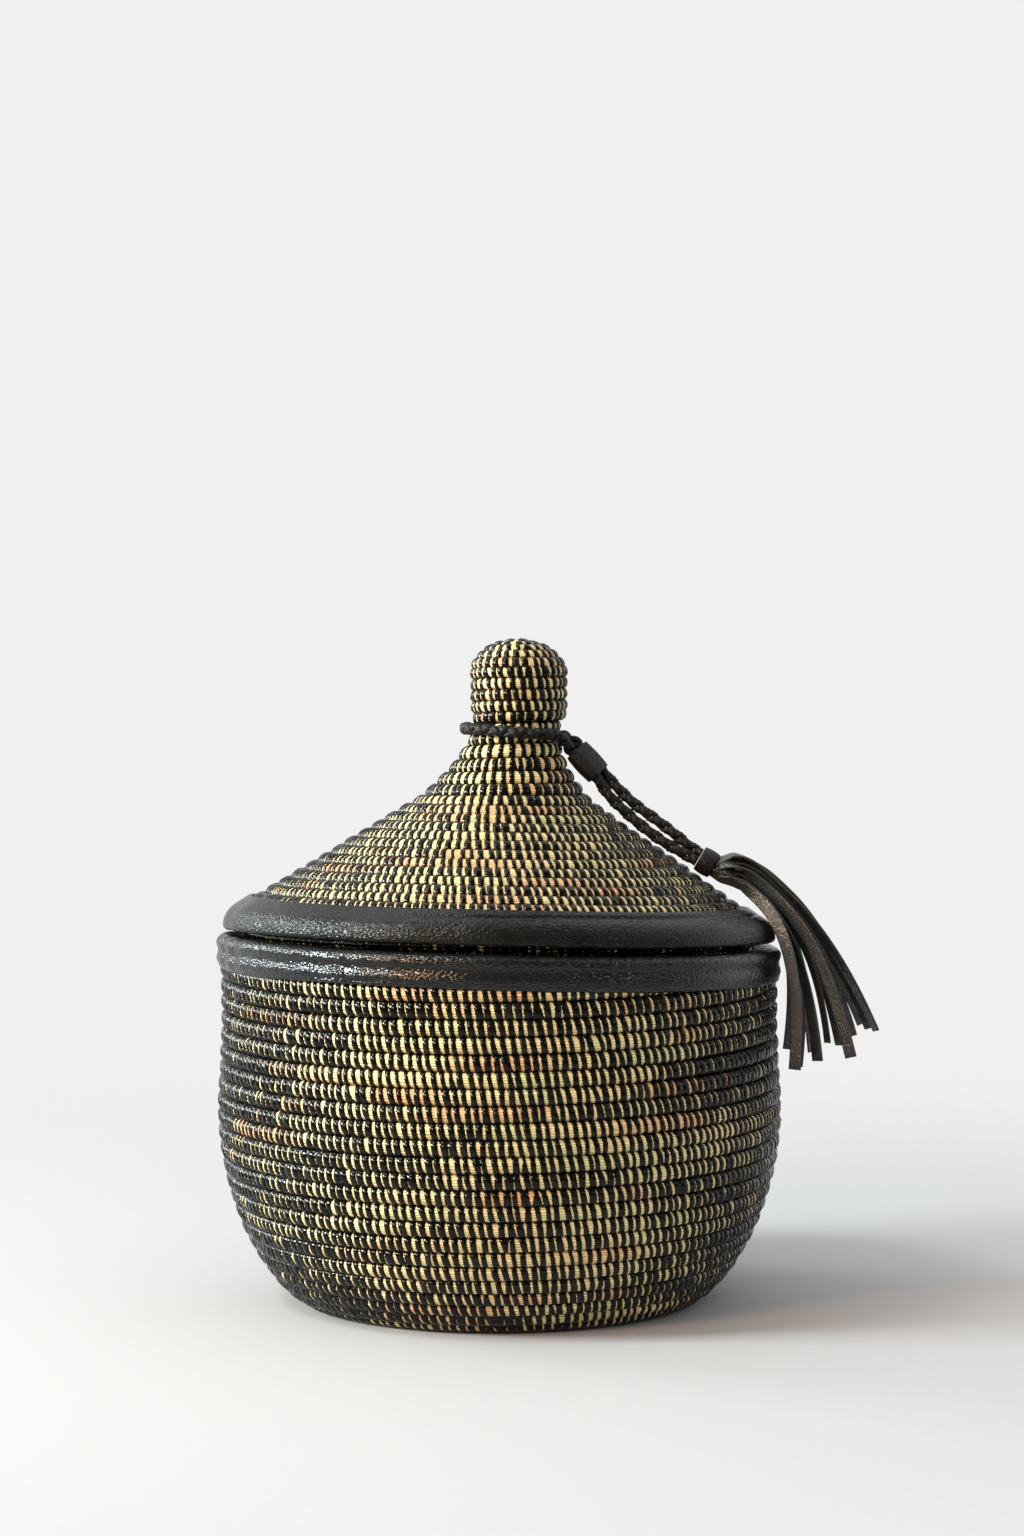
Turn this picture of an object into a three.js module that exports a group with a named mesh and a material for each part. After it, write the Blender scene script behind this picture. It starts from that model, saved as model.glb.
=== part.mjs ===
// Round lidded basket of coiled grass, bound with dark strips, with leather-bound rims.
// A braided cord is looped round the neck of the lid and carries a leather tassel.
// Millimetres, +Z up. The origin is the centre of the base, on the surface the basket stands on.
import * as THREE from "three";

// Driving dimensions of the basket
const footRadius = 100;
const baseDiscRadius = 97;
const bellyHeight = 105;
const footBulge = 18;
const bellyDrop = 59;
const mouthRadius = 148.4;
const bellySwell = 2.2;
const shoulderHeight = 160;
const shoulderEase = 22;
const rimHeight = 191.6;
const wallThickness = 9;
const rowPitch = 8.76;
const rowDepth = 1.4;

// The mouth was finished by eye: it drops towards +X and rises to the front, -Y, where the lid rides up
const mouthSlope = 0.0245;
const mouthTilt = 0.05;
const lidFrontRise = 4;

// Driving dimensions of the lid
const lidStepIn = 2.4;
const lidThickness = 8.2;
const lidRollRadius = 11;
const lidSlope = THREE.MathUtils.degToRad(33.3);
const kneeRadius = 50;
const neckRadius = 23;
const neckRise = 107.4;
const neckSteepness = 14;
const kneeEase = 10;
const neckFlare = 3;
const lidRowPitch = 8.2;
const lidRowDepth = 1.2;
const knobLean = 8.8;
const leanPower = 2;

// Driving dimensions of the knob, measured up from the neck
const knobRadius = 25.6;
const knobBellyRise = 16;
const knobShoulderRise = 33;
const knobRise = 49.8;
const knobCrownDrop = 10;
const knobCrownRadius = 15;
const knobThickness = 6.6;
const knobRowPitch = 6.1;
const knobRowDepth = 1;

// Locating ring of two coil rows under the lid
const ringGap = 2.5;
const ringThickness = 8.2;
const ringDrop = 9;

// Leather bindings
const leatherThickness = 1.6;
const rimBandHeight = 18;
const rimBandInside = 16;
const rimBandCorner = 3.2;
const lidBandTopReach = 11;
const lidBandUnderReach = 9;
const lidBandCorner = 2.4;
const lidBandTurn = 0.15;

// Braided cord, its keeper and the tassel
const cordDiameter = 6.6;
const cordStep = 6;
const loopSlack = 0.5;
const loopSlope = 0.05;
const loopLeave = THREE.MathUtils.degToRad(35);
const pairTilt = THREE.MathUtils.degToRad(48);
const keeperLength = 17.5;
const keeperRun = 1.2;
const keeperThickness = 1.1;
const headBandLength = 9;
const headBandThickness = 1.2;
const headCoreRadius = 5.6;
const headCoreLength = 7.4;
const stripStartSize = 1.8;
const stripStartPitch = 2.15;
const stripSetBack = 0.9;
const stripWidth = 6.6;
const stripThickness = 1.4;
const stripEarlyFan = 0.3;
const stripFacing = 60;
const stripTwist = 25;
const stripSway = 4;

// Working gap between neighbouring pieces
const clearance = 0.3;

// Number of flat facets round each turned form
const roundSides = 24;
const knobSides = 16;
const cordSides = 8;
const knotSides = 12;

const coilMaterial = () => new THREE.MeshStandardMaterial({ color: 0x8a7a4a, roughness: 0.55 });
const leatherMaterial = () => new THREE.MeshStandardMaterial({ color: 0x1b1a1a, roughness: 0.45 });
const cordMaterial = () => new THREE.MeshStandardMaterial({ color: 0x23211f, roughness: 0.6 });

const basket = new THREE.Group();

function addPiece(name, geometry, material) {
  const mesh = new THREE.Mesh(geometry, material);
  mesh.name = name;
  basket.add(mesh);
  return mesh;
}

// Moves every corner of a geometry with a function of its place
function reshape(geometry, place) {
  const corners = geometry.attributes.position;
  const corner = new THREE.Vector3();
  for (let i = 0; i < corners.count; i += 1) {
    corner.fromBufferAttribute(corners, i);
    place(corner);
    corners.setXYZ(i, corner.x, corner.y, corner.z);
  }
  corners.needsUpdate = true;
  return geometry;
}

const bellyRadius = mouthRadius + bellySwell;
const lidRadius = mouthRadius - lidStepIn;
const mouthLean = Math.hypot(mouthSlope, mouthTilt);
const rimTop = rimHeight + mouthLean * wallThickness + clearance + leatherThickness;
const lidSeat = rimTop + clearance;
const lidEdge = lidSeat + leatherThickness + clearance;
const neckHeight = lidEdge + neckRise;
const leanFoot = lidEdge + lidRollRadius;

// The slant of the mouth
function onMouth(corner) {
  corner.z -= mouthSlope * corner.x + mouthTilt * corner.y;
}

function leanAt(height) {
  const share = THREE.MathUtils.clamp((height - leanFoot) / (neckHeight - leanFoot), 0, 1.1);
  return knobLean * share ** leanPower;
}

// The lid follows the slant of the mouth, rides up at the front and leans towards +X with height
function onLid(corner) {
  corner.x += leanAt(corner.z);
  corner.z += lidFrontRise * (1 - corner.y / lidRadius) / 2;
  onMouth(corner);
}

// Coiled shell: a turned wall whose rows climb as one unbroken helix. The outline runs along the
// outer face. Each row is a few lines at fixed shares of the pitch, each with its own depth, and
// every line climbs one pitch a turn, so a line joins the next row's line where the turn closes.
function coiledShell({ outline, from, to, thickness, pitch, sides, outerRow, innerRow, place }) {
  const length = outline.getLength();
  const highest = Math.max(...Array.from({ length: sides }, (_, j) => to(2 * Math.PI * j / sides)));
  const firstTurn = Math.floor(from / pitch) - 1;
  const lastTurn = Math.ceil(highest / pitch);
  const corners = [];
  const faces = [];
  const known = new Map();

  function cornerAt(distance, side, depth) {
    const share = THREE.MathUtils.clamp(distance / length, 0, 1);
    const point = outline.getPoint(share);
    const tangent = outline.getTangent(share);
    const radius = point.x - tangent.y * depth;
    const height = point.y + tangent.x * depth;
    const angle = 2 * Math.PI * (side % sides) / sides;
    const corner = new THREE.Vector3(radius * Math.cos(angle), radius * Math.sin(angle), height);
    place(corner);
    const key = [corner.x, corner.y, corner.z].map((value) => Math.round(value * 1e4)).join();
    if (!known.has(key)) {
      known.set(key, corners.length / 3);
      corners.push(corner.x, corner.y, corner.z);
    }
    return known.get(key);
  }

  function addFace(a, b, c) {
    if (a !== b && b !== c && c !== a) faces.push(a, b, c);
  }

  function addSkin(row, base, direction) {
    const lines = (lastTurn - firstTurn) * row.length + 1;
    const grid = [];
    for (let line = 0; line < lines; line += 1) {
      const part = row[line % row.length];
      const turn = firstTurn + Math.floor(line / row.length);
      const ring = [];
      for (let side = 0; side <= sides; side += 1) {
        const end = to(2 * Math.PI * (side % sides) / sides);
        const climb = (turn + part.at + side / sides) * pitch;
        const distance = THREE.MathUtils.clamp(climb, from, end);
        const fade = Math.min(1, (distance - from) / pitch, (end - distance) / (pitch / 2));
        ring.push(cornerAt(distance, side, base + direction * part.depth * fade));
      }
      grid.push(ring);
    }
    for (let line = 0; line + 1 < lines; line += 1) {
      for (let side = 0; side < sides; side += 1) {
        const low = grid[line];
        const high = grid[line + 1];
        const [second, third] = direction > 0 ? [1, 2] : [2, 1];
        const upper = [low[side], low[side + 1], high[side + 1]];
        const lower = [low[side], high[side + 1], high[side]];
        addFace(upper[0], upper[second], upper[third]);
        addFace(lower[0], lower[second], lower[third]);
      }
    }
  }

  addSkin(outerRow, 0, 1);
  addSkin(innerRow, thickness, -1);
  for (let side = 0; side < sides; side += 1) {
    const next = (side + 1) % sides;
    const ends = [side, next].map((station) => to(2 * Math.PI * station / sides));
    const start = [cornerAt(from, side, 0), cornerAt(from, side, thickness),
      cornerAt(from, next, thickness), cornerAt(from, next, 0)];
    const finish = [cornerAt(ends[0], side, 0), cornerAt(ends[1], next, 0),
      cornerAt(ends[1], next, thickness), cornerAt(ends[0], side, thickness)];
    for (const quad of [start, finish]) {
      addFace(quad[0], quad[1], quad[2]);
      addFace(quad[0], quad[2], quad[3]);
    }
  }
  const geometry = new THREE.BufferGeometry();
  geometry.setAttribute("position", new THREE.Float32BufferAttribute(corners, 3));
  geometry.setIndex(faces);
  geometry.computeVertexNormals();
  return geometry;
}

// A row seen in section: a groove where it meets its neighbour, then a flat-topped round
const fullRow = (depth) => [{ at: 0, depth }, { at: 0.28, depth: 0 }, { at: 0.72, depth: 0 }];
const lightRow = (depth) => [{ at: 0, depth }, { at: 0.5, depth: 0 }];
const smoothRow = [{ at: 0, depth: 0 }];
const stay = () => {};

// Basket: flat disc, then the wall that the same coil climbs
const basketOutline = new THREE.Path();
basketOutline.moveTo(0, 0);
basketOutline.lineTo(footRadius, 0);
basketOutline.bezierCurveTo(footRadius + footBulge, 0, bellyRadius, bellyHeight - bellyDrop,
  bellyRadius, bellyHeight);
basketOutline.bezierCurveTo(bellyRadius, bellyHeight + shoulderEase,
  mouthRadius, shoulderHeight - shoulderEase, mouthRadius, shoulderHeight);
basketOutline.lineTo(mouthRadius, rimHeight + mouthLean * mouthRadius + rowPitch);
const wallTop = basketOutline.getLength() - mouthLean * mouthRadius - rowPitch;

addPiece("basket_base_coil", coiledShell({
  outline: basketOutline, from: 0, to: () => baseDiscRadius, thickness: wallThickness, pitch: rowPitch,
  sides: roundSides, outerRow: fullRow(rowDepth), innerRow: smoothRow, place: stay,
}), coilMaterial());

addPiece("basket_wall_coil", coiledShell({
  outline: basketOutline, from: baseDiscRadius + clearance,
  to: (angle) => wallTop - mouthRadius * (mouthSlope * Math.cos(angle) + mouthTilt * Math.sin(angle)),
  thickness: wallThickness, pitch: rowPitch, sides: roundSides,
  outerRow: fullRow(rowDepth), innerRow: lightRow(rowDepth), place: stay,
}), coilMaterial());

// A turned leather binding from a closed outline of its section
function turnedBand(section, place) {
  const points = section.getPoints(2);
  points.push(points[0].clone());
  const geometry = new THREE.LatheGeometry(points, roundSides);
  geometry.rotateX(Math.PI / 2);
  return reshape(geometry, place);
}

// Rim binding: folded over the top row, down both faces of the wall
function rimBandSection() {
  const outside = mouthRadius + clearance + leatherThickness;
  const inside = mouthRadius - wallThickness - clearance - leatherThickness;
  const section = new THREE.Path();
  section.moveTo(outside, rimTop - rimBandHeight);
  section.absarc(outside - rimBandCorner, rimTop - rimBandCorner, rimBandCorner, 0, Math.PI / 2, false);
  section.absarc(inside + rimBandCorner, rimTop - rimBandCorner, rimBandCorner, Math.PI / 2, Math.PI, false);
  section.lineTo(inside, rimTop - rimBandInside);
  section.lineTo(inside + leatherThickness, rimTop - rimBandInside);
  section.lineTo(inside + leatherThickness, rimTop - leatherThickness);
  section.lineTo(outside - leatherThickness, rimTop - leatherThickness);
  section.lineTo(outside - leatherThickness, rimTop - rimBandHeight);
  return section;
}
addPiece("basket_rim_leather", turnedBand(rimBandSection(), onMouth), leatherMaterial());

// Lid: the outer face runs from the turned-down edge, up the cone and in to the neck
const lidOutline = new THREE.Path();
const rollCentre = new THREE.Vector2(lidRadius - lidRollRadius, lidEdge);
const rollEnd = Math.PI / 2 - lidSlope;
const rollTop = new THREE.Vector2(Math.cos(rollEnd), Math.sin(rollEnd)).multiplyScalar(lidRollRadius);
rollTop.add(rollCentre);
const kneeHeight = rollTop.y + (rollTop.x - kneeRadius) * Math.tan(lidSlope);
lidOutline.moveTo(lidRadius, lidEdge);
lidOutline.absarc(rollCentre.x, rollCentre.y, lidRollRadius, 0, rollEnd, false);
lidOutline.lineTo(kneeRadius, kneeHeight);
lidOutline.bezierCurveTo(
  kneeRadius - kneeEase * Math.cos(lidSlope), kneeHeight + kneeEase * Math.sin(lidSlope),
  neckRadius + neckFlare, neckHeight - neckSteepness, neckRadius, neckHeight,
);
addPiece("lid_cone_coil", coiledShell({
  outline: lidOutline, from: 0, to: () => lidOutline.getLength(), thickness: lidThickness,
  pitch: lidRowPitch, sides: roundSides, outerRow: fullRow(lidRowDepth), innerRow: smoothRow, place: onLid,
}), coilMaterial());

// Knob: a closed bulb coiled up from the neck
const knobFoot = neckHeight + clearance;
const knobOutline = new THREE.Path();
knobOutline.moveTo(neckRadius, knobFoot);
knobOutline.bezierCurveTo(neckRadius, knobFoot + knobBellyRise / 2, knobRadius, knobFoot + knobBellyRise / 2,
  knobRadius, knobFoot + knobBellyRise);
knobOutline.lineTo(knobRadius, knobFoot + knobShoulderRise);
knobOutline.bezierCurveTo(knobRadius, knobFoot + knobRise - knobCrownDrop,
  knobCrownRadius, knobFoot + knobRise, 0, knobFoot + knobRise);
addPiece("lid_knob_coil", coiledShell({
  outline: knobOutline, from: 0, to: () => knobOutline.getLength(), thickness: knobThickness,
  pitch: knobRowPitch, sides: knobSides, outerRow: lightRow(knobRowDepth), innerRow: smoothRow, place: onLid,
}), coilMaterial());

// Lid binding: folded round the turned-down edge, from the top of the cone to its underside
function lidBandSection() {
  const slantAlong = new THREE.Vector2(-Math.cos(lidSlope), Math.sin(lidSlope));
  const slantOut = new THREE.Vector2(Math.sin(lidSlope), Math.cos(lidSlope));
  const topInner = rollTop.clone().addScaledVector(slantOut, clearance);
  topInner.addScaledVector(slantAlong, lidBandTopReach);
  const topOuter = topInner.clone().addScaledVector(slantOut, leatherThickness);
  const outerRoll = lidRollRadius + clearance + leatherThickness;
  const innerRoll = lidRollRadius + clearance;
  const underInner = lidRadius - lidBandUnderReach;
  const section = new THREE.Path();
  section.moveTo(underInner, lidSeat);
  section.lineTo(lidRadius + clearance + leatherThickness - lidBandCorner, lidSeat);
  section.lineTo(lidRadius + clearance + leatherThickness, lidSeat + lidBandCorner);
  section.absarc(rollCentre.x, rollCentre.y, outerRoll, lidBandTurn, rollEnd, false);
  section.lineTo(topOuter.x, topOuter.y);
  section.lineTo(topInner.x, topInner.y);
  section.absarc(rollCentre.x, rollCentre.y, innerRoll, rollEnd, 0, true);
  section.lineTo(lidRadius + clearance, lidSeat + leatherThickness);
  section.lineTo(underInner, lidSeat + leatherThickness);
  return section;
}
addPiece("lid_rim_leather", turnedBand(lidBandSection(), onLid), leatherMaterial());

// Locating ring: two coil rows stitched under the lid, just inside the mouth of the basket
const ringRadius = mouthRadius - wallThickness - clearance - leatherThickness - ringGap;
const coneOverRing = rollTop.y + (rollTop.x - ringRadius) * Math.tan(lidSlope);
const ringTop = coneOverRing - lidThickness / Math.cos(lidSlope) - 2 * clearance;
const ringOutline = new THREE.Path();
ringOutline.moveTo(ringRadius, lidSeat - ringDrop);
ringOutline.lineTo(ringRadius, ringTop);
addPiece("lid_locating_ring", coiledShell({
  outline: ringOutline, from: 0, to: () => ringOutline.getLength(), thickness: ringThickness,
  pitch: ringOutline.getLength() / 2, sides: roundSides, outerRow: fullRow(lidRowDepth), innerRow: smoothRow,
  place: onLid,
}), coilMaterial());

// Where the lid's own places lie once it is on the basket
function lidPoint(radius, angle, height) {
  const point = new THREE.Vector3(radius * Math.cos(angle), radius * Math.sin(angle), height);
  onLid(point);
  return point;
}

// Braided cord. It runs from the tassel up one leg, through the keeper, round the neck behind the
// lid, back through the keeper and down the other leg.
const cordRadius = cordDiameter / 2;
const pairOffset = (cordDiameter + clearance) / 2;
const loopRadius = neckRadius + clearance + loopSlack + cordRadius;
const keeperStart = new THREE.Vector3(41.2, -1, 296);
const keeperDirection = new THREE.Vector3(0.68, -0.06, -0.73).normalize();
const headStart = new THREE.Vector3(107, -8, 238.6);
const headDirection = new THREE.Vector3(0.861, -0.09, -0.5).normalize();

// The two cords lie one above the other, the upper one further from the viewer's side, -Y
function pairDirection(along) {
  const across = new THREE.Vector3(0, 1, 0).addScaledVector(along, -along.y).normalize();
  const up = new THREE.Vector3().crossVectors(along, across).normalize();
  return up.multiplyScalar(Math.sign(up.z) * Math.cos(pairTilt)).addScaledVector(across, Math.sin(pairTilt));
}
const keeperPair = pairDirection(keeperDirection);
const headPair = pairDirection(headDirection);

function legEnds(side) {
  const keeperIn = keeperStart.clone().addScaledVector(keeperPair, side * pairOffset);
  const headIn = headStart.clone().addScaledVector(headPair, side * pairOffset);
  return {
    keeperLead: keeperIn.clone().addScaledVector(keeperDirection, -2 * keeperRun),
    keeperBefore: keeperIn.clone().addScaledVector(keeperDirection, -keeperRun),
    keeperIn,
    keeperOut: keeperIn.clone().addScaledVector(keeperDirection, keeperLength),
    keeperAfter: keeperIn.clone().addScaledVector(keeperDirection, keeperLength + keeperRun),
    headBefore: headIn.clone().addScaledVector(headDirection, -clearance - cordDiameter),
    headIn: headIn.clone().addScaledVector(headDirection, -clearance),
  };
}
const upper = legEnds(1);
const lower = legEnds(-1);

function loopPoint(angle) {
  const point = lidPoint(loopRadius, angle, neckHeight);
  point.z -= loopSlope * loopRadius * Math.cos(angle);
  return point;
}
const loopSteps = 14;
const loopPoints = Array.from({ length: loopSteps + 1 },
  (_, i) => loopPoint(loopLeave + i * (2 * Math.PI - 2 * loopLeave) / loopSteps));
const upperLeg = [
  upper.headIn, upper.headBefore,
  new THREE.Vector3(95.5, -4.6, 249.6),
  new THREE.Vector3(84, -3, 258.4),
  new THREE.Vector3(73, -1.5, 266.4),
  new THREE.Vector3(63.5, -0.3, 275.2),
  upper.keeperAfter, upper.keeperOut, upper.keeperIn, upper.keeperBefore,
];
const backBend = [upper.keeperLead, new THREE.Vector3(35.6, 7.3, 302.2)];
const frontBend = [new THREE.Vector3(35.1, -8, 300.6), lower.keeperLead];
const lowerLeg = [
  lower.keeperBefore, lower.keeperIn, lower.keeperOut, lower.keeperAfter,
  new THREE.Vector3(58.5, -5.2, 271.8),
  new THREE.Vector3(66.5, -6, 263.8),
  new THREE.Vector3(76, -7.2, 255.6),
  new THREE.Vector3(87, -8.6, 247.6),
  lower.headBefore, lower.headIn,
];
const cordRoute = [...upperLeg, ...backBend, ...loopPoints, ...frontBend, ...lowerLeg];
const cordCurve = new THREE.CatmullRomCurve3(cordRoute, false, "centripetal");

// The part of the cord between two of its route points, trimmed back at each end
class CordStretch extends THREE.Curve {
  constructor(start, finish, trimStart, trimFinish) {
    super();
    const last = cordRoute.length - 1;
    this.start = stationOf(start / last) + trimStart / cordLength;
    this.finish = stationOf(finish / last) - trimFinish / cordLength;
  }

  getPoint(share, target = new THREE.Vector3()) {
    return cordCurve.getPointAt(this.start + share * (this.finish - this.start), target);
  }
}
cordCurve.arcLengthDivisions = 1200;
const cordLength = cordCurve.getLength();

// Share of the whole length at a share of the route's points
function stationOf(share) {
  const lengths = cordCurve.getLengths();
  return lengths[Math.round(share * (lengths.length - 1))] / cordLength;
}

function cordPiece(name, start, finish, trimStart, trimFinish) {
  const stretch = new CordStretch(start, finish, trimStart, trimFinish);
  const section = new THREE.Shape();
  for (let side = 0; side < cordSides; side += 1) {
    const angle = 2 * Math.PI * side / cordSides;
    const corner = [cordRadius * Math.cos(angle), cordRadius * Math.sin(angle)];
    if (side === 0) section.moveTo(...corner);
    else section.lineTo(...corner);
  }
  section.closePath();
  const steps = Math.max(3, Math.round((stretch.finish - stretch.start) * cordLength / cordStep));
  const tube = new THREE.ExtrudeGeometry(section, { steps, bevelEnabled: false, extrudePath: stretch });
  addPiece(name, tube, cordMaterial());
}

// The cord's free stretches, from mark to mark along its route
const half = clearance / 2;
const legBend = 2;
const loopBack = upperLeg.length + backBend.length;
const loopFront = loopBack + loopSteps;
const upperKeeper = upperLeg.length - 2;
const lowerKeeper = loopFront + frontBend.length + 2;
const routeEnd = cordRoute.length - 1;
cordPiece("leg_bend_upper", 0, legBend, 0, half);
cordPiece("cord_leg_upper", legBend, upperKeeper, half, half);
cordPiece("loop_bend_back", upperKeeper, loopBack, half, half);
cordPiece("neck_loop_cord", loopBack, loopFront, half, half);
cordPiece("loop_bend_front", loopFront, lowerKeeper, half, half);
cordPiece("cord_leg_lower", lowerKeeper, routeEnd - legBend, half, half);
cordPiece("leg_bend_lower", routeEnd - legBend, routeEnd, half, 0);

// Places a form made along +Z so that it starts at a point, runs along a direction and has its
// X axis as near as can be to a third direction
function aim(mesh, start, along, across) {
  const side = across.clone().addScaledVector(along, -across.dot(along)).normalize();
  const third = new THREE.Vector3().crossVectors(along, side);
  mesh.quaternion.setFromRotationMatrix(new THREE.Matrix4().makeBasis(side, third, along));
  mesh.position.copy(start);
}

// A slot-shaped outline with round ends, its long side along X
function slotPath(Outline, halfLength, radius) {
  const outline = new Outline();
  outline.absarc(halfLength, 0, radius, -Math.PI / 2, Math.PI / 2, false);
  outline.absarc(-halfLength, 0, radius, Math.PI / 2, Math.PI * 1.5, false);
  outline.closePath();
  return outline;
}

// Keeper: a leather sleeve wrapped round both cords
const keeperBore = cordRadius + clearance;
const keeperSection = slotPath(THREE.Shape, pairOffset, keeperBore + keeperThickness);
keeperSection.holes.push(slotPath(THREE.Path, pairOffset, keeperBore));
const keeper = addPiece("cord_keeper", new THREE.ExtrudeGeometry(keeperSection, {
  depth: keeperLength, steps: 1, bevelEnabled: false, curveSegments: 8,
}), leatherMaterial());
aim(keeper, keeperStart, keeperDirection, keeperPair);

// Tassel head: a leather band round the knot that the strips hang from
const bandInner = headCoreRadius + clearance;
const headSection = new THREE.Shape().absarc(0, 0, bandInner + headBandThickness, 0, 2 * Math.PI, false);
headSection.holes.push(new THREE.Path().absarc(0, 0, bandInner, 0, 2 * Math.PI, true));
const headBand = addPiece("tassel_head_band", new THREE.ExtrudeGeometry(headSection, {
  depth: headBandLength, steps: 1, bevelEnabled: false, curveSegments: 8,
}), leatherMaterial());
aim(headBand, headStart, headDirection, headPair);
const knotForm = new THREE.CylinderGeometry(headCoreRadius, headCoreRadius, headCoreLength, knotSides);
knotForm.rotateX(Math.PI / 2).translate(0, 0, headCoreLength / 2);
const knot = addPiece("tassel_knot", knotForm, leatherMaterial());
aim(knot, headStart, headDirection, headPair);

// Tassel strips, in layers from the one against the lid to the outermost. Each layer fans out round
// the basket from a first angle by equal steps. Its bends are given as the reach beyond the lid's
// edge and the height above it.
const stripLayers = [
  { count: 3, firstAngle: -18, step: 11.5, early: [-9, 27], shoulder: [19, 12], end: [15, -67] },
  { count: 4, firstAngle: -13, step: 6, early: [-8, 30], shoulder: [19, 16], end: [26, -59] },
  { count: 4, firstAngle: -11, step: 5.5, early: [-7, 34], shoulder: [20, 21], end: [40, -57] },
  { count: 3, firstAngle: -6, step: 4, early: [-8, 38], shoulder: [22, 26], end: [53, -48] },
];
const stripSteps = 9;
const headAngle = Math.atan2(headStart.y, headStart.x);
const stripUp = new THREE.Vector3(0.5, 0, 0.866);

function stripCurve(layer, index, number) {
  const { count, firstAngle, step } = stripLayers[layer];
  const angle = THREE.MathUtils.degToRad(firstAngle + index * step);
  const fromMiddle = index - (count - 1) / 2;
  const start = headStart.clone().addScaledVector(headDirection, headCoreLength + stripSetBack)
    .addScaledVector(stripUp, (layer - (stripLayers.length - 1) / 2) * stripStartPitch)
    .add(new THREE.Vector3(0, fromMiddle * stripStartPitch, 0));
  const around = (share, [reach, rise], sway) => {
    const at = THREE.MathUtils.lerp(headAngle, angle, share);
    const radius = lidRadius + reach + sway * Math.sin(number * 1.7);
    const height = lidEdge + rise + sway * Math.sin(number * 2.9);
    return new THREE.Vector3(radius * Math.cos(at), radius * Math.sin(at), height);
  };
  const { early, shoulder, end } = stripLayers[layer];
  return new THREE.CubicBezierCurve3(start, around(stripEarlyFan, early, 0),
    around(1, shoulder, stripSway / 2), around(1, end, stripSway));
}

function stripGeometry(curve, twist) {
  const corners = [];
  const faces = [];
  for (let step = 0; step <= stripSteps; step += 1) {
    const share = step / stripSteps;
    const point = curve.getPoint(share);
    const along = curve.getTangent(share);
    const spread = THREE.MathUtils.smoothstep(share, 0.05, 0.55);
    const width = THREE.MathUtils.lerp(stripStartSize, stripWidth, spread);
    const thickness = THREE.MathUtils.lerp(stripStartSize, stripThickness, spread);
    const across = new THREE.Vector3(-point.y, point.x, 0).normalize();
    across.addScaledVector(along, -across.dot(along)).normalize();
    const out = new THREE.Vector3().crossVectors(across, along).normalize();
    const turn = twist * THREE.MathUtils.smoothstep(share, 0.35, 0.8);
    const wide = across.clone().multiplyScalar(Math.cos(turn)).addScaledVector(out, Math.sin(turn));
    const thick = new THREE.Vector3().crossVectors(wide, along).normalize();
    for (const [w, t] of [[1, 1], [-1, 1], [-1, -1], [1, -1]]) {
      const corner = point.clone().addScaledVector(wide, w * width / 2);
      corner.addScaledVector(thick, t * thickness / 2);
      corners.push(corner.x, corner.y, corner.z);
    }
  }
  for (let step = 0; step < stripSteps; step += 1) {
    for (let side = 0; side < 4; side += 1) {
      const a = step * 4 + side;
      const b = step * 4 + (side + 1) % 4;
      faces.push(a, b + 4, b, a, a + 4, b + 4);
    }
  }
  const last = stripSteps * 4;
  faces.push(0, 1, 2, 0, 2, 3, last + 2, last + 1, last, last + 3, last + 2, last);
  const geometry = new THREE.BufferGeometry();
  geometry.setAttribute("position", new THREE.Float32BufferAttribute(corners, 3));
  geometry.setIndex(faces);
  geometry.computeVertexNormals();
  return geometry;
}

let stripNumber = 0;
stripLayers.forEach(({ count }, layer) => {
  for (let index = 0; index < count; index += 1) {
    stripNumber += 1;
    const twist = THREE.MathUtils.degToRad(stripFacing + stripTwist * Math.sin(stripNumber * 2.4));
    const name = `tassel_strip_${String(stripNumber).padStart(2, "0")}`;
    addPiece(name, stripGeometry(stripCurve(layer, index, stripNumber), twist), leatherMaterial());
  }
});

export default basket;
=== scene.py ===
"""Looks of a round lidded basket of coiled grass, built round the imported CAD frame.

The shells are rebuilt as what they are: a long bundle of grass wound into a helix, with every
binding strip a piece of mesh of its own. Sizes here are in millimetres and become metres where a
mesh is made.
"""

import math

import bpy
import numpy as np
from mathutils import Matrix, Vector


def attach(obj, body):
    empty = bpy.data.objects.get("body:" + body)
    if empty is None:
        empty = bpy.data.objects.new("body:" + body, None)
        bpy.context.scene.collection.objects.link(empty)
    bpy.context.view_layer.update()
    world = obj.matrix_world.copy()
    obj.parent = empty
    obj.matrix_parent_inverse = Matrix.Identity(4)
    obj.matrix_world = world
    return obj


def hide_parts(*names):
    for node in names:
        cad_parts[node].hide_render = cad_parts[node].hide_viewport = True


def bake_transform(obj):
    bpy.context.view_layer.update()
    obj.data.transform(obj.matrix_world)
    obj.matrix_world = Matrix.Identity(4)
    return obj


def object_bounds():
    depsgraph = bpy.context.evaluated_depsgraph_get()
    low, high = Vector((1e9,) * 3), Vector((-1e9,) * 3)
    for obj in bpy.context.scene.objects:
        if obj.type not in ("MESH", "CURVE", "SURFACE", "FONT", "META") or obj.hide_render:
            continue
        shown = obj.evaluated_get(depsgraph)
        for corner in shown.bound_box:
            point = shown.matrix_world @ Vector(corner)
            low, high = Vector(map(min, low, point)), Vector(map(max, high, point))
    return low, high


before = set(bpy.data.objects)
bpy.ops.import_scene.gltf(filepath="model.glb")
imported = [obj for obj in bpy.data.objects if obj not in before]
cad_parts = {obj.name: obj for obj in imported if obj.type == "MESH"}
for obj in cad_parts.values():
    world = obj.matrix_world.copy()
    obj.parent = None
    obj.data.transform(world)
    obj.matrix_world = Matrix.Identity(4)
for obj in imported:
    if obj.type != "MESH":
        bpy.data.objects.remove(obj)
cad_low, cad_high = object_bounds()

MM = 0.001
TAU = 2 * math.pi


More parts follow.
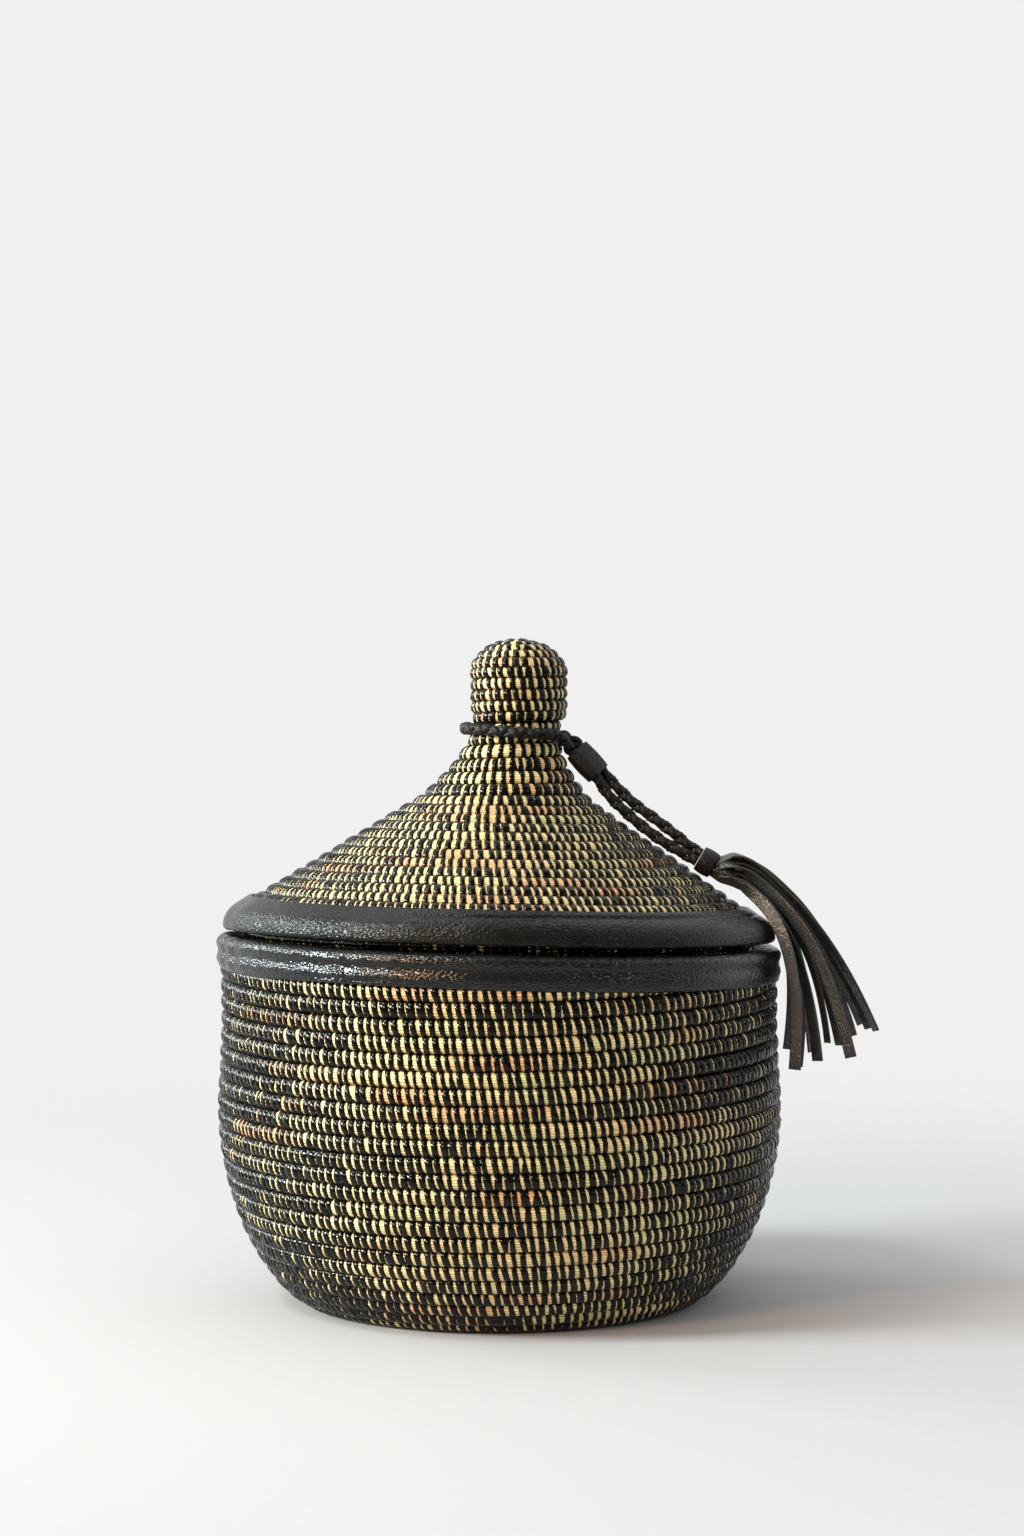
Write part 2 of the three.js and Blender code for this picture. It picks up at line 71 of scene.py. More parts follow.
# Camera, at the photograph's place: 2.5 m away, 46 cm up, looking down a little
IMAGE_HEIGHT = 1536
FOCAL_PIXELS = 4740
SENSOR = 36.0
CAMERA_PLACE = (0.0067, -2.53, 0.463)
CAMERA_DOWN = math.radians(4.0)

camera_data = bpy.data.cameras.new("camera")
camera_data.sensor_width = SENSOR
camera_data.lens = SENSOR * FOCAL_PIXELS / IMAGE_HEIGHT
camera_data.clip_end = 30
camera = bpy.data.objects.new("camera", camera_data)
camera.location = CAMERA_PLACE
camera.rotation_euler = (math.pi / 2 - CAMERA_DOWN, 0, 0)
bpy.context.collection.objects.link(camera)
bpy.context.scene.camera = camera


# Sizes of the real object, as in the CAD model
FOOT_RADIUS = 100.0
BELLY_RADIUS = 150.6
BELLY_HEIGHT = 105.0
MOUTH_RADIUS = 148.4
SHOULDER_HEIGHT = 160.0
RIM_HEIGHT = 191.6
WALL_THICKNESS = 9.0
ROW_PITCH = 8.76
MOUTH_SLOPE = 0.0245
MOUTH_TILT = 0.05
LID_RISE = 4.0
LID_RADIUS = 146.0
LID_EDGE = 196.2
LID_SEAT = 194.3
LID_THICKNESS = 8.2
LID_ROLL = 11.0
LID_SLOPE = math.radians(33.3)
LID_PITCH = 8.2
KNEE_RADIUS = 50.0
NECK_RADIUS = 23.0
NECK_HEIGHT = 303.6
KNOB_LEAN = 8.8
LEAN_FOOT = LID_EDGE + LID_ROLL
KNOB_RADIUS = 25.6
KNOB_PITCH = 6.1
KNOB_THICKNESS = 6.6
RING_RADIUS = 135.0
LEATHER = 1.6
RIM_TOP = 194.0


# Small helpers


def smooth(value, low, high):
    share = np.clip((value - low) / (high - low), 0, 1)
    return share * share * (3 - 2 * share)


def ripple(*coordinates, seed=0, waves=5):
    """Smooth pseudo-random value from about -1 to 1, made of a few sines."""
    draw = np.random.default_rng(seed)
    total = 0
    for _ in range(waves):
        angle = draw.uniform(0, TAU)
        for coordinate in coordinates:
            angle = angle + draw.uniform(-1, 1) * coordinate
        total = total + np.sin(angle)
    return total / math.sqrt(waves)


def unit(vectors):
    return vectors / np.linalg.norm(vectors, axis=-1, keepdims=True)


def square_to(along, vectors):
    """The part of each vector that stands square to its direction along, one long."""
    return unit(vectors - along * np.sum(vectors * along, axis=-1, keepdims=True))


def bezier(a, b, c, d, steps):
    """A curve from a to d that leaves towards b and arrives from c."""
    t = np.linspace(0, 1, steps + 1)[:, None]
    a, b, c, d = (np.array(p, float) for p in (a, b, c, d))
    return a * (1 - t) ** 3 + 3 * b * t * (1 - t) ** 2 + 3 * c * t * t * (1 - t) + d * t ** 3


class Line:
    """A line through points, read by distance along it, with its direction."""

    def __init__(self, *stretches):
        points = np.vstack(stretches)
        steps = np.linalg.norm(np.diff(points, axis=0), axis=1)
        keep = np.concatenate([[True], steps > 1e-6])
        self.points = points[keep]
        steps = np.linalg.norm(np.diff(self.points, axis=0), axis=1)
        self.stations = np.concatenate([[0], np.cumsum(steps)])
        self.length = self.stations[-1]
        self.directions = np.gradient(self.points, self.stations, axis=0)

    def at(self, distance):
        place = [np.interp(distance, self.stations, axis) for axis in self.points.T]
        return np.stack(place, axis=-1)

    def along(self, distance):
        heading = [np.interp(distance, self.stations, axis) for axis in self.directions.T]
        return unit(np.stack(heading, axis=-1))


def straight(a, b, steps=2):
    return np.linspace(np.array(a, float), np.array(b, float), steps)


def make_piece(name, points, faces, materials, uv=None, tint=None, face_material=None):
    """A mesh piece from points in millimetres. uv has one pair for each corner of each face."""
    mesh = bpy.data.meshes.new(name)
    places = np.asarray(points, float).reshape(-1, 3) * MM
    mesh.from_pydata(places.tolist(), [], faces if isinstance(faces, list) else faces.tolist())
    mesh.polygons.foreach_set("use_smooth", np.ones(len(mesh.polygons), bool))
    if uv is not None:
        layer = mesh.uv_layers.new(name="along")
        layer.data.foreach_set("uv", np.asarray(uv, np.float32).ravel())
    if tint is not None:
        attribute = mesh.attributes.new("tint", "FLOAT", "POINT")
        attribute.data.foreach_set("value", np.asarray(tint, np.float32).ravel())
    for material in materials:
        mesh.materials.append(material)
    if face_material is not None:
        mesh.polygons.foreach_set("material_index", np.asarray(face_material, np.int32))
    mesh.update()
    piece = bpy.data.objects.new(name, mesh)
    bpy.context.collection.objects.link(piece)
    return piece


def grid_faces(rows, columns, closed=False):
    """Faces of a grid of rows x columns points, its columns joined round if closed."""
    span = columns if closed else columns - 1
    row, column = np.meshgrid(np.arange(rows - 1), np.arange(span), indexing="ij")
    right = (column + 1) % columns
    here, above = row * columns, (row + 1) * columns
    return np.stack([here + column, here + right, above + right, above + column], axis=-1).reshape(-1, 4)


def grid_uv(u, v):
    """Corner coordinates for grid_faces: u by row, v by column, one more v than columns if closed."""
    rows, span = len(u) - 1, len(v) - 1
    low_u, high_u = np.repeat(u[:-1], span), np.repeat(u[1:], span)
    low_v, high_v = np.tile(v[:-1], rows), np.tile(v[1:], rows)
    pairs = [(low_u, low_v), (low_u, high_v), (high_u, high_v), (high_u, low_v)]
    return np.stack([np.stack(pair, axis=-1) for pair in pairs], axis=1).reshape(-1, 2)


# Materials


def fill(tree, socket, value):
    """Sets a socket to a value, or links it where the value comes from another node."""
    if isinstance(value, bpy.types.NodeSocket):
        tree.links.new(value, socket)
    else:
        socket.default_value = value


def new_node(tree, kind, inputs=None, **settings):
    """A node with its settings made and its inputs filled, each by name or number."""
    node = tree.nodes.new(kind)
    for name, value in settings.items():
        setattr(node, name, value)
    for socket, value in (inputs or {}).items():
        fill(tree, node.inputs[socket], value)
    return node


# Sockets of a colour mix, where names alone don't tell the kinds apart
MIX_FACTOR, MIX_FIRST, MIX_SECOND, MIX_RESULT = 0, 6, 7, 2


class Shader:
    """A principled material with short ways to add nodes to it."""

    def __init__(self, name, colour=(0.8, 0.8, 0.8), roughness=0.5, **sockets):
        self.material = bpy.data.materials.new(name)
        self.material.use_nodes = True
        self.tree = self.material.node_tree
        self.surface = self.tree.nodes["Principled BSDF"]
        self.set("Base Color", (*colour, 1))
        self.set("Roughness", roughness)
        for socket, value in sockets.items():
            self.set(socket.replace("_", " "), value)

    def set(self, socket, value):
        fill(self.tree, self.surface.inputs[socket], value)

    def node(self, kind, inputs=None, **settings):
        return new_node(self.tree, kind, inputs, **settings)

    def math(self, operation, a, b=0.0):
        return self.node("ShaderNodeMath", {0: a, 1: b}, operation=operation).outputs[0]

    def coordinates(self, output="Object", scale=(1, 1, 1)):
        source = self.node("ShaderNodeTexCoord").outputs[output]
        return self.node("ShaderNodeMapping", {"Vector": source, "Scale": scale}).outputs[0]

    def noise(self, vector, detail=2.0, roughness=0.5):
        inputs = {"Vector": vector, "Scale": 1.0, "Detail": detail, "Roughness": roughness}
        return self.node("ShaderNodeTexNoise", inputs).outputs["Fac"]

    def cells(self, vector):
        return self.node("ShaderNodeTexVoronoi", {"Vector": vector, "Scale": 1.0}).outputs["Distance"]

    def ramp(self, value, *stops):
        node = self.node("ShaderNodeValToRGB", {"Fac": value})
        elements = node.color_ramp.elements
        while len(elements) < len(stops):
            elements.new(0.5)
        for element, (position, colour) in zip(elements, stops):
            element.position = position
            element.color = (*colour, 1) if isinstance(colour, tuple) else (colour, colour, colour, 1)
        return node.outputs["Color"]

    def mix(self, factor, a, b):
        first, second = ((*colour, 1) if isinstance(colour, tuple) else colour for colour in (a, b))
        inputs = {MIX_FACTOR: factor, MIX_FIRST: first, MIX_SECOND: second}
        return self.node("ShaderNodeMix", inputs, data_type="RGBA").outputs[MIX_RESULT]

    def bump(self, height, strength, distance, below=None):
        inputs = {"Strength": strength, "Distance": distance, "Height": height}
        if below is not None:
            inputs["Normal"] = below
        return self.node("ShaderNodeBump", inputs).outputs["Normal"]


STRAW_PALE = (0.90, 0.72, 0.30)
STRAW_GREEN = (0.66, 0.68, 0.24)
STRAW_TAN = (0.86, 0.44, 0.16)
# Dark flecks of the grass; also the colour of the painted shade between stems and where rows meet
STRAW_FLECK_AND_SHADE = (0.05, 0.035, 0.015)
STRIP_BLACK = (0.001, 0.0015, 0.001)
STRIP_DARK = (0.002, 0.003, 0.002)
STRIP_FADED = (0.008, 0.010, 0.008)
STRETCH_SHARE = 0.72
# Where rows meet, as a distance round the bundle's section from its outer face; painted shade lies there
ROW_MEET_SHADE = 0.25
FINE_BUMP = 0.0002
STEM_BUMP = 0.0006
CRINKLE_BUMP = 0.0001
CREASE_BUMP = 0.00015


def straw_material():
    """Grass stems laid along the coil, in stretches of cream, green and tan, with painted shade between the
    stems and where rows meet.
    """
    shader = Shader("grass_straw", Specular_IOR_Level=0.75)
    stretches = shader.noise(shader.coordinates("UV", (12, 0.35, 1)), roughness=0.55)
    stems = shader.noise(shader.coordinates("UV", (32, 15, 1)), roughness=0.6)
    grain = shader.noise(shader.coordinates("UV", (260, 60, 1)), roughness=0.6)
    hue = shader.math("ADD", shader.math("MULTIPLY", stretches, STRETCH_SHARE),
                      shader.math("MULTIPLY", stems, 1 - STRETCH_SHARE))
    colour = shader.ramp(hue, (0.37, STRAW_GREEN), (0.44, STRAW_PALE), (0.53, STRAW_PALE), (0.585, STRAW_TAN))

    lines = {"Vector": shader.coordinates("UV", (9, 9, 1)), "Scale": 0.75, "Distortion": 2.2, "Detail": 2.0}
    wave = shader.node("ShaderNodeTexWave", lines, wave_type="BANDS", bands_direction="Y", wave_profile="SIN")
    stem_height = wave.outputs["Fac"]
    # Painted shade in the narrow gaps between stems
    shade_between_stems = shader.ramp(stem_height, (0.0, 1.0), (0.22, 0.0))
    colour = shader.mix(shader.math("MULTIPLY", shade_between_stems, 0.7), colour, STRAW_FLECK_AND_SHADE)
    colour = shader.mix(shader.ramp(grain, (0.35, 0.35), (0.6, 0.0)), colour, STRAW_FLECK_AND_SHADE)

    # Painted shade: the grass darkens towards the top and bottom of each row, where the rows meet
    section = shader.node("ShaderNodeSeparateXYZ", {"Vector": shader.coordinates("UV")})
    from_face = shader.math("ABSOLUTE", shader.math("SUBTRACT", section.outputs["Y"], 0.5))
    from_row_meet_shade = shader.math("ABSOLUTE", shader.math("SUBTRACT", from_face, ROW_MEET_SHADE))
    colour = shader.mix(shader.ramp(from_row_meet_shade, (0.03, 0.9), (0.08, 0.0)), colour, STRAW_FLECK_AND_SHADE)

    shader.set("Base Color", colour)
    shader.set("Roughness", shader.ramp(grain, (0.3, 0.32), (0.7, 0.52)))
    fine = shader.bump(grain, 0.25, FINE_BUMP)
    shader.set("Normal", shader.bump(stem_height, 0.6, STEM_BUMP, fine))
    return shader.material


def strip_material():
    """Narrow glossy strip, blackish green, crinkled where it is pulled tight."""
    shader = Shader("binding_strip", STRIP_DARK, Specular_IOR_Level=0.24)
    tint = shader.node("ShaderNodeAttribute", attribute_name="tint").outputs["Fac"]
    crinkle = shader.noise(shader.coordinates("Object", (700, 700, 500)), 3.0, 0.6)
    shader.set("Base Color", shader.ramp(tint, (0.0, STRIP_BLACK), (0.7, STRIP_DARK), (1.0, STRIP_FADED)))
    shader.set("Roughness", shader.ramp(crinkle, (0.3, 0.07), (0.7, 0.14)))
    shader.set("Normal", shader.bump(crinkle, 0.8, CRINKLE_BUMP))
    return shader.material


def leather_material(name, colour, gloss, cell, depth=0.0002, specular=0.3, banded=False):
    """Grained leather: a pebble of small cells, drawn out along a band, over soft creases. A cell is
    millimetres wide and high, the depth of the pebble is in metres."""
    shader = Shader(name, colour, gloss, Specular_IOR_Level=specular)
    width, height = cell
    if banded:
        pebble = shader.cells(shader.coordinates("UV", (1000 / width, 1000 / height, 1)))
        creases = shader.noise(shader.coordinates("UV", (160, 420, 1)), 3.0, 0.6)
    else:
        pebble = shader.cells(shader.coordinates("Object", (1000 / width, 1000 / width, 1000 / height)))
        creases = shader.noise(shader.coordinates("Object", (260, 260, 120)), 3.0, 0.6)
    broad = shader.noise(shader.coordinates("Object", (34, 34, 34)))
    pale = tuple(channel * 1.7 for channel in colour)
    shader.set("Base Color", shader.mix(shader.ramp(broad, (0.35, 0.0), (0.65, 1.0)), colour, pale))
    shader.set("Roughness", shader.ramp(broad, (0.3, gloss * 0.8), (0.7, gloss * 1.25)))
    under = shader.bump(creases, 0.4, CREASE_BUMP)
    shader.set("Normal", shader.bump(shader.ramp(pebble, (0.1, 1.0), (0.75, 0.0)), 1.0, depth, under))
    return shader.material


straw = straw_material()
strip = strip_material()
basket_leather = leather_material("basket_leather", (0.003, 0.004, 0.0035), gloss=0.20, cell=(2.2, 1.1),
                                  depth=0.00026, specular=0.5, banded=True)
lid_leather = leather_material("lid_leather", (0.004, 0.005, 0.004), gloss=0.24, cell=(1.8, 1.1),
                               depth=0.00028, specular=0.24, banded=True)
tassel_leather = leather_material("tassel_leather", (0.018, 0.023, 0.022), gloss=0.32, cell=(0.9, 1.2),
                                  depth=0.00022, specular=1.0)
cord_leather = leather_material("cord_leather", (0.006, 0.006, 0.006), gloss=0.36, cell=(0.8, 0.8))
cord_edge = leather_material("cord_edge", (0.030, 0.027, 0.024), gloss=0.5, cell=(0.6, 0.6))
cut_edge = leather_material("leather_cut_edge", (0.030, 0.024, 0.019), gloss=0.7, cell=(0.5, 0.5))


# Cord: the route repeats the CAD model's points


def lean_at(height):
    """How far the lid leans towards +X at a height."""
    share = np.clip((height - LEAN_FOOT) / (NECK_HEIGHT - LEAN_FOOT), 0, 1.1)
    return KNOB_LEAN * share ** 2


def on_mouth(points):
    """The mouth drops towards +X and rises to the front."""
    x, y, z = np.moveaxis(np.asarray(points, float), -1, 0)
    return np.stack([x, y, z - MOUTH_SLOPE * x - MOUTH_TILT * y], axis=-1)


def on_lid(points):
    """The lid follows the slant of the mouth, rides up at the front and leans towards +X."""
    x, y, z = np.moveaxis(np.asarray(points, float), -1, 0)
    return on_mouth(np.stack([x + lean_at(z), y, z + LID_RISE * (1 - y / LID_RADIUS) / 2], axis=-1))


UPPER_LEG = [
    (108.1, -5.4, 240.6), (102.4, -4.8, 243.9), (95.5, -4.6, 249.6), (84.0, -3.0, 258.4), (73.0, -1.5, 266.4),
    (63.5, -0.3, 275.2), (55.7, 0.4, 283.8), (54.9, 0.5, 284.7), (43.0, 1.6, 297.5),
]
BACK_BEND = [(42.2, 1.6, 298.3), (41.4, 1.7, 299.2), (35.6, 7.3, 302.2)]
FRONT_BEND = [(35.1, -8.0, 300.6), (37.8, -3.4, 296.3), (38.6, -3.5, 295.4)]
LOWER_LEG = [
    (39.4, -3.6, 294.5), (51.3, -4.6, 281.8), (52.1, -4.7, 280.9), (58.5, -5.2, 271.8), (66.5, -6.0, 263.8),
    (76.0, -7.2, 255.6), (87.0, -8.6, 247.6), (99.7, -9.9, 240.2), (105.4, -10.5, 236.9),
]
LOOP_RADIUS = 27.1
LOOP_LEAVE = math.radians(35)
LOOP_SLOPE = 0.05
KEEPER_START = np.array([41.2, -1.0, 296.0])
KEEPER_ALONG = np.array([0.680, -0.060, -0.730])
KEEPER_PAIR = np.array([0.520, 0.742, 0.423])
KEEPER_LENGTH = 17.5
KEEPER_INSIDE = 3.6
HEAD_START = np.array([107.0, -8.0, 238.6])
HEAD_ALONG = np.array([0.861, -0.090, -0.500])
HEAD_PAIR = np.array([0.394, 0.740, 0.545])
HEAD_LENGTH = 9.0
HEAD_INSIDE = 5.6
KNOT_LENGTH = 7.0
PAIR_OFFSET = 3.45
LOOP_STEPS = 15


def neck_loop_points():
    angle = np.linspace(LOOP_LEAVE, TAU - LOOP_LEAVE, LOOP_STEPS)
    x, y = LOOP_RADIUS * np.cos(angle), LOOP_RADIUS * np.sin(angle)
    points = on_lid(np.stack([x, y, np.full(LOOP_STEPS, NECK_HEIGHT)], axis=-1))
    points[:, 2] -= LOOP_SLOPE * x
    return points


def between(t, t0, t1, a, b):
    """The place at t on the way from a, reached at t0, to b, reached at t1."""
    return (t1 - t) / (t1 - t0) * a + (t - t0) / (t1 - t0) * b


def rounded(points, step=0.5):
    """A smooth line through points, sampled every step or so: the same centripetal curve as the CAD's."""
    points = np.asarray(points, float)
    points = np.vstack([2 * points[0] - points[1], points, 2 * points[-1] - points[-2]])
    samples = []
    for before, start, finish, after in zip(points, points[1:], points[2:], points[3:]):
        t0, t1 = 0.0, math.dist(before, start) ** 0.5
        t2 = t1 + math.dist(start, finish) ** 0.5
        t3 = t2 + math.dist(finish, after) ** 0.5
        count = max(2, int(math.dist(start, finish) / step))
        t = np.linspace(t1, t2, count, endpoint=False)[:, None]
        a = between(t, t0, t1, before, start)
        b = between(t, t1, t2, start, finish)
        c = between(t, t2, t3, finish, after)
        d = between(t, t0, t2, a, b)
        e = between(t, t1, t3, b, c)
        samples.append(between(t, t1, t2, d, e))
    samples.append(points[-2:-1])
    return np.vstack(samples)


def carried_frames(line, distances):
    """Centres and two cross directions along a line, turned as little as possible."""
    centres, along = line.at(distances), line.along(distances)
    side = np.cross(along[0], (0, 0, 1.0))
    sides = []
    for heading in along:
        side = unit(side - heading * side.dot(heading))
        sides.append(side)
    sides = np.array(sides)
    return centres, sides, np.cross(along, sides)


# Braid and leather strips


BRAID_PITCH = 19.0
BRAID_RADIUS = 2.25
BRAID_WEAVE = 0.6
BRAID_STEP = 0.8
STRAND_WRAP = 1.35
STRAND_HALF = 0.8
STRAND_TUCK = 0.7
STRAND_CORNERS = 10
STRAND_EDGE = 0.97


def rounded_box(angle, power=0.8):
    """Across and up, each from -1 to 1, of a box section with rounded corners."""
    across, up = np.cos(angle), np.sin(angle)
    return np.sign(across) * np.abs(across) ** power, np.sign(up) * np.abs(up) ** power


def braid(name, line, start, finish):
    """Four flat strands plaited round the line, two each way, over and under in turn."""
    count = int((finish - start) / BRAID_STEP) + 1
    distances = np.linspace(start, finish, count)
    centres, sides, ups = carried_frames(line, distances)
    turn = TAU * distances[:, None] / BRAID_PITCH
    across, up = rounded_box(np.linspace(0, TAU, STRAND_CORNERS, endpoint=False)[None, :])
    tube = grid_faces(count, STRAND_CORNERS, closed=True)
    points, faces, cut = [], [], []
    for way in (1, -1):
        for phase in (0, math.pi):
            radius = BRAID_RADIUS + BRAID_WEAVE * way * np.cos(2 * turn) - STRAND_TUCK * across ** 2
            radius = (radius + STRAND_HALF * up)[..., None]
            angle = (way * turn + phase + STRAND_WRAP * across)[..., None]
            out = np.cos(angle) * sides[:, None, :] + np.sin(angle) * ups[:, None, :]
            ring = centres[:, None, :] + radius * out
            faces.append(tube + len(points) * count * STRAND_CORNERS)
            points.append(ring.reshape(-1, 3))
            cut.append(np.tile(np.abs(across[0]) > STRAND_EDGE, count - 1))
    return make_piece(name, np.vstack(points), np.vstack(faces), (cord_leather, cord_edge),
                      face_material=np.concatenate(cut))


def nearest_station(line, point):
    return line.stations[np.argmin(np.linalg.norm(line.points - np.asarray(point), axis=1))]


def make_cords():
    """The whole braid in three pieces: both legs of the tassel cord, and the neck loop with its bends."""
    line = Line(rounded([*UPPER_LEG, *BACK_BEND, *neck_loop_points(), *FRONT_BEND, *LOWER_LEG]))
    upper_cut = nearest_station(line, UPPER_LEG[-1])
    lower_cut = nearest_station(line, LOWER_LEG[0])
    upper_leg = braid("upper_leg_cord", line, 0, upper_cut)
    neck_cord = braid("neck_cord", line, upper_cut, lower_cut)
    lower_leg = braid("lower_leg_cord", line, lower_cut, line.length)
    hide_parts("cord_leg_upper", "leg_bend_upper")
    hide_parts("neck_loop_cord", "loop_bend_back", "loop_bend_front")
    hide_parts("cord_leg_lower", "leg_bend_lower")
    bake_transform(neck_cord)
    for leg, bend_start in ((upper_leg, UPPER_LEG[1]), (lower_leg, LOWER_LEG[-2])):
        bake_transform(leg)


RIBBON_CORNERS = 12
RIBBON_EDGE = 0.93


def ribbon(name, centres, wides, thicks, widths, thickness, cup):
    """A flat leather strip along centres: its faces have grain and its long edges show the cut."""
    across, up = rounded_box(np.linspace(0, TAU, RIBBON_CORNERS, endpoint=False), 0.45)
    half = np.asarray(widths)[:, None, None] / 2
    rise = (up * thickness / 2 + cup * across ** 2)[None, :, None]
    ring = centres[:, None, :] + half * across[None, :, None] * wides[:, None, :] + rise * thicks[:, None, :]
    faces = grid_faces(len(centres), RIBBON_CORNERS, closed=True)
    middle = np.abs((across + np.roll(across, -1)) / 2)
    cut = np.tile(middle > RIBBON_EDGE, len(centres) - 1)
    points = np.vstack([ring.reshape(-1, 3), ring[0].mean(axis=0), ring[-1].mean(axis=0)])
    first_end = len(points) - 2
    last_end = first_end + 1
    last_ring = first_end - RIBBON_CORNERS
    corner = np.arange(RIBBON_CORNERS)
    following = (corner + 1) % RIBBON_CORNERS
    caps = [[first_end, after, before] for before, after in zip(corner, following)]
    caps += [[last_end, last_ring + before, last_ring + after] for before, after in zip(corner, following)]
    return make_piece(name, points, faces.tolist() + caps, (tassel_leather, cut_edge),
                      face_material=np.concatenate([cut, np.ones(len(caps), bool)]))


SLEEVE_STATIONS = 15
SLEEVE_CORNERS = 48
SLEEVE_BELLY = 0.5
SLEEVE_OVERLAP = 0.25
OVERLAP_STEP = (3.9, 4.1)
OVERLAP_FADE = (5.2, 6.2)
SLEEVE_EDGE = 0.75


def sleeve(name, start, along, pair, length, inside, thickness, apart, lumps):
    """A leather band wrapped round one or two cords, its overlap showing as a step."""
    along = unit(along)
    pair = square_to(along, pair)
    other = np.cross(along, pair)
    share = np.linspace(0, 1, SLEEVE_STATIONS)
    angle = np.linspace(0, TAU, SLEEVE_CORNERS, endpoint=False)
    overlap = SLEEVE_OVERLAP * smooth(angle, *OVERLAP_STEP) * (1 - smooth(angle, *OVERLAP_FADE))
    offset = np.clip(np.cos(angle) * 3, -1, 1) * apart
    profile = [(inside, place) for place in share[::-1]]
    profile += [(inside + thickness * SLEEVE_EDGE, 0.0)]
    profile += [(inside + thickness, place) for place in np.linspace(0.04, 0.96, SLEEVE_STATIONS)]
    profile += [(inside + thickness * SLEEVE_EDGE, 1.0)]
    rings = []
    for radius, place in profile:
        reach = radius
        if radius > inside:
            uneven = lumps * ripple(angle * 3, np.full(SLEEVE_CORNERS, place * 4), seed=5)
            belly = SLEEVE_BELLY * (math.sin(math.pi * place) - 0.6)
            reach = radius + uneven + belly + overlap
        ring = (start + along * place * length + (np.cos(angle) * reach + offset)[:, None] * pair
                + (np.sin(angle) * reach)[:, None] * other)
        rings.append(ring)
    rings.append(rings[0])
    faces = grid_faces(len(rings), SLEEVE_CORNERS, closed=True)
    return make_piece(name, np.vstack(rings), faces, (cord_leather,))


# Layers of strips, the lowest first: how many strips, where round the lid the first one hangs and the
# step to the next, in degrees. Then where they pass early on, over the shoulder and at the end, as
# distance out from the lid's edge and height above it.
STRIP_LAYERS = (
    {"count": 3, "first": -18, "step": 11.5, "early": (-8, 29), "shoulder": (22, 13), "end": (15, -67)},
    {"count": 4, "first": -13, "step": 6, "early": (-8, 30), "shoulder": (19, 16), "end": (26, -59)},
    {"count": 4, "first": -11, "step": 5.5, "early": (-7, 34), "shoulder": (20, 21), "end": (40, -57)},
    {"count": 3, "first": -6, "step": 4, "early": (-8, 38), "shoulder": (22, 26), "end": (53, -48)},
)
STRIP_START = 5.0
STRIP_SWELL = 4.0
STRIP_SPACING = 2.15
STRIP_WIDTH = 7.0
STRIP_LEATHER = 1.4
STRIP_CUP = 0.35
STRIP_STEPS = 44
STRIP_FACING = math.radians(60)
STRIP_TWIST = math.radians(50)
STRIP_SWAY = 4
STRIP_WAVE = 1.4
EARLY_FAN = 0.3
HEAD_DEPTH = 8.3
HEAD_UP = np.array((0.5, 0, 0.866))
HEAD_ANGLE = math.atan2(HEAD_START[1], HEAD_START[0])


def fan_point(share, angle, bend, sway, number):
    """A point that a strip passes: share is how far it has fanned out, sway sets it off its neighbours."""
    reach, rise = bend
    turned = HEAD_ANGLE + (angle - HEAD_ANGLE) * share
    radius = LID_RADIUS + reach + sway * math.sin(number * 1.7)
    height = LID_EDGE + rise + sway * math.sin(number * 2.9)
    return (radius * math.cos(turned), radius * math.sin(turned), height)


def out_of_head(centres):
    """Directions straight out from the axis of the tassel's head."""
    return square_to(unit(HEAD_ALONG), centres - HEAD_START)


def strip_frames(centres, twist, seed):
    """Directions across and through a hanging strip. It leaves the head lying round it, then turns
    and curls on its way down."""
    along = unit(np.gradient(centres, axis=0))
    hanging = square_to(along, np.cross((0, 0, 1), centres))
    lying = unit(np.cross(along, out_of_head(centres)))
    lying = lying * np.sign(np.sum(lying * hanging, axis=1, keepdims=True))
    share = np.linspace(0, 1, len(centres))
    across = unit(lying + (hanging - lying) * smooth(share, 0.10, 0.35)[:, None])
    out = np.cross(across, along)
    turn = twist * smooth(share, 0.12, 0.5) + 0.25 * ripple(share * 5, seed=seed) * smooth(share, 0.3, 0.6)
    turn = turn[:, None]
    wide = across * np.cos(turn) + out * np.sin(turn)
    return wide, np.cross(wide, along)


def strip_centres(bends, layer, index, number):
    """The middle of a strip, from inside the head, up and over, and down past the lid's rim."""
    angle = math.radians(bends["first"] + index * bends["step"])
    from_middle = index - (bends["count"] - 1) / 2
    start = HEAD_START + HEAD_ALONG * HEAD_DEPTH
    from_mid_layer = layer - (len(STRIP_LAYERS) - 1) / 2
    start = start + HEAD_UP * from_mid_layer * STRIP_SPACING
    start = start + np.array((0, from_middle * STRIP_SPACING, 0))
    early = fan_point(EARLY_FAN, angle, bends["early"], 0, number)
    shoulder = fan_point(1, angle, bends["shoulder"], STRIP_SWAY / 2, number)
    end = fan_point(1, angle, bends["end"], STRIP_SWAY, number)
    centres = bezier(start, early, shoulder, end, STRIP_STEPS)
    share = np.linspace(0, 1, STRIP_STEPS + 1)
    sway = np.stack([ripple(share * 6, seed=number * 3 + axis) for axis in range(3)], axis=-1)
    centres = centres + STRIP_WAVE * sway * smooth(share, 0.3, 0.8)[:, None]
    swell = STRIP_SWELL * (0.5 + 0.2 * layer) * (1 + 0.35 * math.sin(number * 1.7))
    swell = swell * smooth(share, 0, 0.11) * (1 - smooth(share, 0.14, 0.5))
    centres = centres + swell[:, None] * out_of_head(centres)
    inside = start - HEAD_ALONG * np.linspace(4, 0.5, 5)[:, None]
    return np.vstack([inside, centres])


